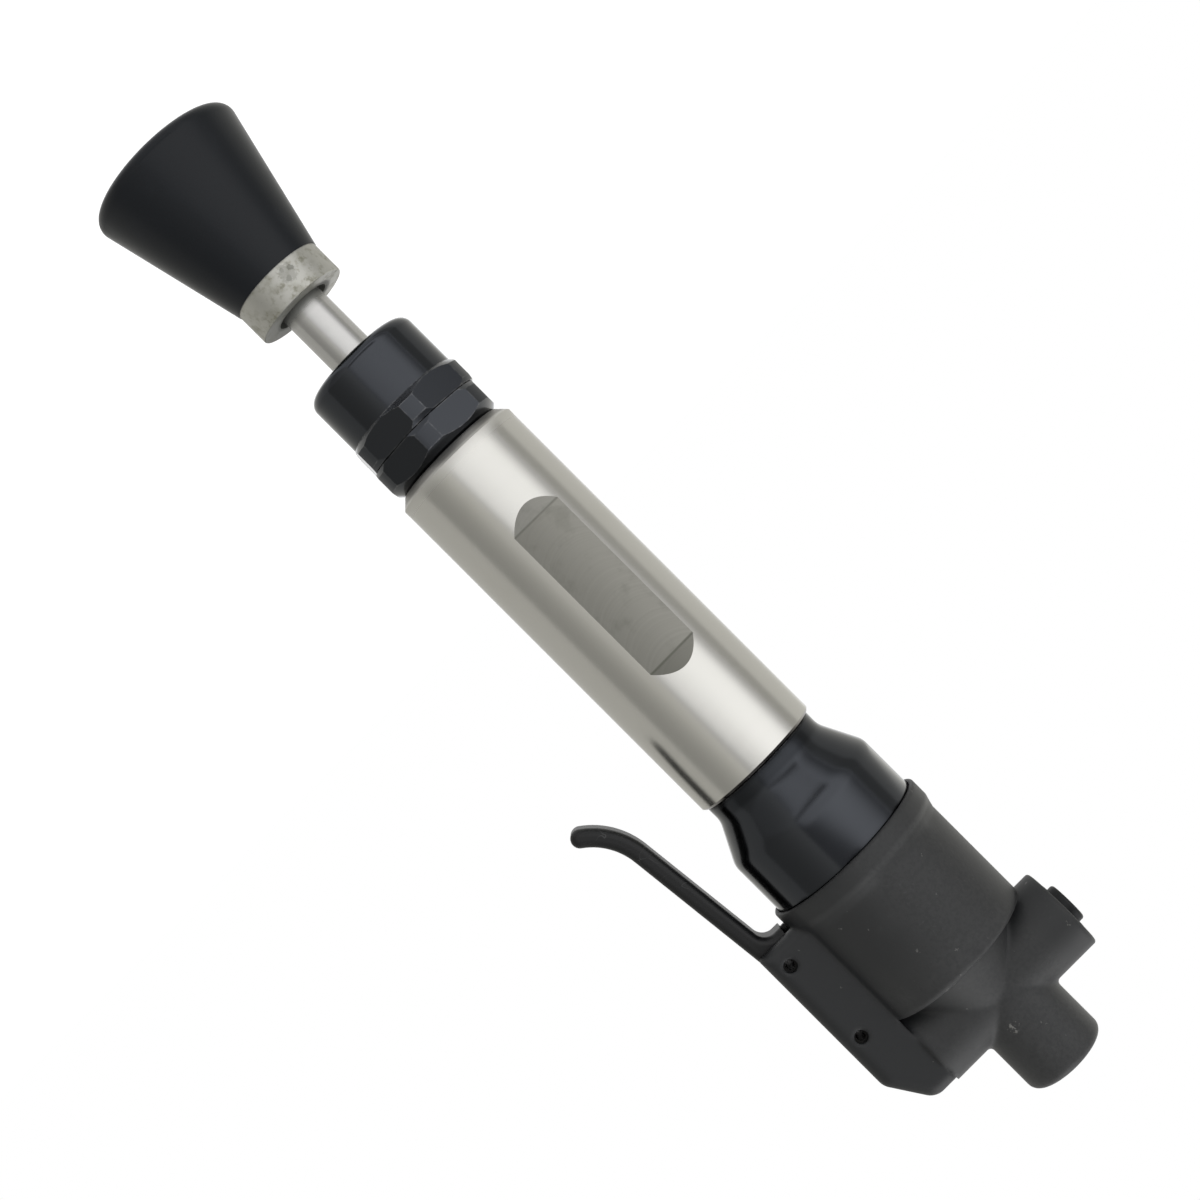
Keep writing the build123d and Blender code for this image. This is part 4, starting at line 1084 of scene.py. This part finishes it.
class RAMMER_OT_butt(bpy.types.Operator):
    """Dress the rubber butt and its steel core"""

    bl_idname = "rammer.butt"
    bl_label = "Butt"

    def execute(self, context):
        colours, textures = props(context)
        dress(moulded_rubber(colours), "rubber_butt")
        dress(stained_core(colours, textures), "butt_core")
        return {"FINISHED"}


class RAMMER_OT_ram(bpy.types.Operator):
    """Dress the piston rod and the piston rings"""

    bl_idname = "rammer.ram"
    bl_label = "Ram"

    def execute(self, context):
        colours, textures = props(context)
        rings = turned_metal("ring_iron", textures, colours.core, colours.core_stain_and_shade, 0.42)
        dress(ground_rod(colours, textures), "piston_rod")
        dress(rings, "piston_rings")
        return {"FINISHED"}


class RAMMER_OT_gland(bpy.types.Operator):
    """Dress the black nuts and neck, the gland stack inside them, the gaskets and the seals"""

    bl_idname = "rammer.gland"
    bl_label = "Gland and nuts"

    def execute(self, context):
        colours, textures = props(context)
        bronze = turned_metal(
            "turned_bronze", textures, colours.bronze, colours.bronze_dark, 0.30, tarnished=0.5
        )
        dress(black_oxide("black_nut", colours, textures, 0.15 * MM), "gland_nut", "lock_nut")
        dress(black_oxide("black_neck", colours, textures, 5.0 * MM), "valve_housing")
        dress(bronze, "packing_spacer", "rod_bush")
        dress(pressed_fibre(colours), "rod_packing", "head_gasket", "cover_gasket")
        dress(
            seal_rubber(colours),
            "rod_wiper", "housing_seal", "cap_seal", "push_pin_seal", "valve_facing",
        )
        return {"FINISHED"}


class RAMMER_OT_barrel(bpy.types.Operator):
    """Dress the barrel with its milled spanner flats"""

    bl_idname = "rammer.barrel"
    bl_label = "Barrel"

    def execute(self, context):
        dress(barrel_steel(*props(context)), "cylinder_barrel")
        return {"FINISHED"}


class RAMMER_OT_valve(bpy.types.Operator):
    """Dress the distribution valve inside the neck"""

    bl_idname = "rammer.valve"
    bl_label = "Distribution valve"

    def execute(self, context):
        colours, textures = props(context)
        steel = turned_metal("valve_steel", textures, colours.pin, colours.core_stain_and_shade, 0.30)
        dress(steel, "valve_chest", "shuttle_valve", "valve_cover", "valve_dowels")
        return {"FINISHED"}


class RAMMER_OT_handle(bpy.types.Operator):
    """Dress the cast handle, and cut the thread in its air inlet"""

    bl_idname = "rammer.handle"
    bl_label = "Handle"

    def execute(self, context):
        colours, textures = props(context)
        dress(cast_handle(colours, textures), "handle_casting")
        thread = inlet_thread(textures)
        thread.data.materials.append(
            turned_metal("cut_thread", textures, colours.flat_dark_and_shade, colours.core_stain_and_shade, 0.35)
        )
        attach(thread, "housing")
        return {"FINISHED"}


class RAMMER_OT_throttle(bpy.types.Operator):
    """Dress the lever, rocker, pins and throttle valve"""

    bl_idname = "rammer.throttle"
    bl_label = "Lever and throttle"

    def execute(self, context):
        colours, textures = props(context)
        stem = turned_metal("valve_stem", textures, colours.steel, colours.steel_film, 0.22, "X")
        bronze = turned_metal(
            "throttle_bronze", textures, colours.bronze, colours.bronze_dark, 0.30, "X", 0.5
        )
        cap = turned_metal("cap_steel", textures, colours.iron, colours.lever, 0.42, "X")
        dress(satin_lever(colours, textures), "throttle_lever", "throttle_rocker")
        dress(shaded_pin(colours), "lever_pin", "rocker_pin")
        dress(stem, "throttle_push_pin", "throttle_valve")
        dress(bronze, "throttle_seat", "inlet_strainer")
        dress(cap, "throttle_cap")
        return {"FINISHED"}


class RAMMER_OT_spring(bpy.types.Operator):
    """Put in the throttle spring"""

    bl_idname = "rammer.spring"
    bl_label = "Throttle spring"

    def execute(self, context):
        colours, textures = props(context)
        coil = frame["nodes"]["throttle_spring"].copy()
        coil.data = coil.data.copy()
        coil.name = "throttle_coil"
        for key in list(coil.keys()):
            del coil[key]
        coil.parent = None
        context.scene.collection.objects.link(coil)
        coil.data.materials.clear()
        coil.data.materials.append(
            turned_metal("spring_wire", textures, colours.pin, colours.core_stain_and_shade, 0.26, "X")
        )
        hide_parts("throttle_spring")
        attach(coil, "housing")
        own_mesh(coil)
        return {"FINISHED"}


class RAMMER_OT_studio(bpy.types.Operator):
    """Set up the floor, the lights, the grey cards and the camera"""

    bl_idname = "rammer.studio"
    bl_label = "Studio"

    def execute(self, context):
        studio = context.scene.rammer_studio
        context.scene.view_settings.view_transform = "Standard"
        white_world(context.scene, studio)
        pale_floor(studio)
        soft_box("key_card", studio)
        side_lamp("tail_lamp", studio.tail_level, TAIL_PLACE, TAIL_SIZE)
        for name, (setting, shares, side, depths, heights) in CARDS.items():
            levels = [part * getattr(studio, setting) for part in shares]
            grey_card(name, levels, side, depths, heights)
        photo_camera(context.scene, studio)
        return {"FINISHED"}


OPERATORS = (
    RAMMER_OT_butt,
    RAMMER_OT_ram,
    RAMMER_OT_gland,
    RAMMER_OT_barrel,
    RAMMER_OT_valve,
    RAMMER_OT_handle,
    RAMMER_OT_throttle,
    RAMMER_OT_spring,
    RAMMER_OT_studio,
)


class RAMMER_PT_panel(bpy.types.Panel):
    """Pieces and settings of the pneumatic rammer"""

    bl_idname = "RAMMER_PT_panel"
    bl_label = "Pneumatic rammer"
    bl_space_type = "VIEW_3D"
    bl_region_type = "UI"
    bl_category = "Rammer"

    def draw(self, context):
        for operator in OPERATORS:
            self.layout.operator(operator.bl_idname)
        for group in SETTINGS:
            settings = getattr(context.scene, group)
            box = self.layout.box()
            for name in settings.bl_rna.properties.keys():
                if name not in ("rna_type", "name"):
                    box.prop(settings, name)


SETTINGS = {
    "rammer_colours": RammerColours,
    "rammer_textures": RammerTextures,
    "rammer_studio": RammerStudio,
}
CLASSES = (*SETTINGS.values(), *OPERATORS, RAMMER_PT_panel)


def register():
    for cls in CLASSES:
        bpy.utils.register_class(cls)
    for name, group in SETTINGS.items():
        setattr(bpy.types.Scene, name, PointerProperty(type=group))


def unregister():
    for name in SETTINGS:
        delattr(bpy.types.Scene, name)
    for cls in reversed(CLASSES):
        bpy.utils.unregister_class(cls)


def main():
    """Make every piece and the studio."""
    register()
    bpy.ops.rammer.butt()
    bpy.ops.rammer.ram()
    bpy.ops.rammer.gland()
    bpy.ops.rammer.barrel()
    bpy.ops.rammer.valve()
    bpy.ops.rammer.handle()
    bpy.ops.rammer.throttle()
    bpy.ops.rammer.spring()
    bpy.ops.rammer.studio()


if __name__ == "__main__":
    main()
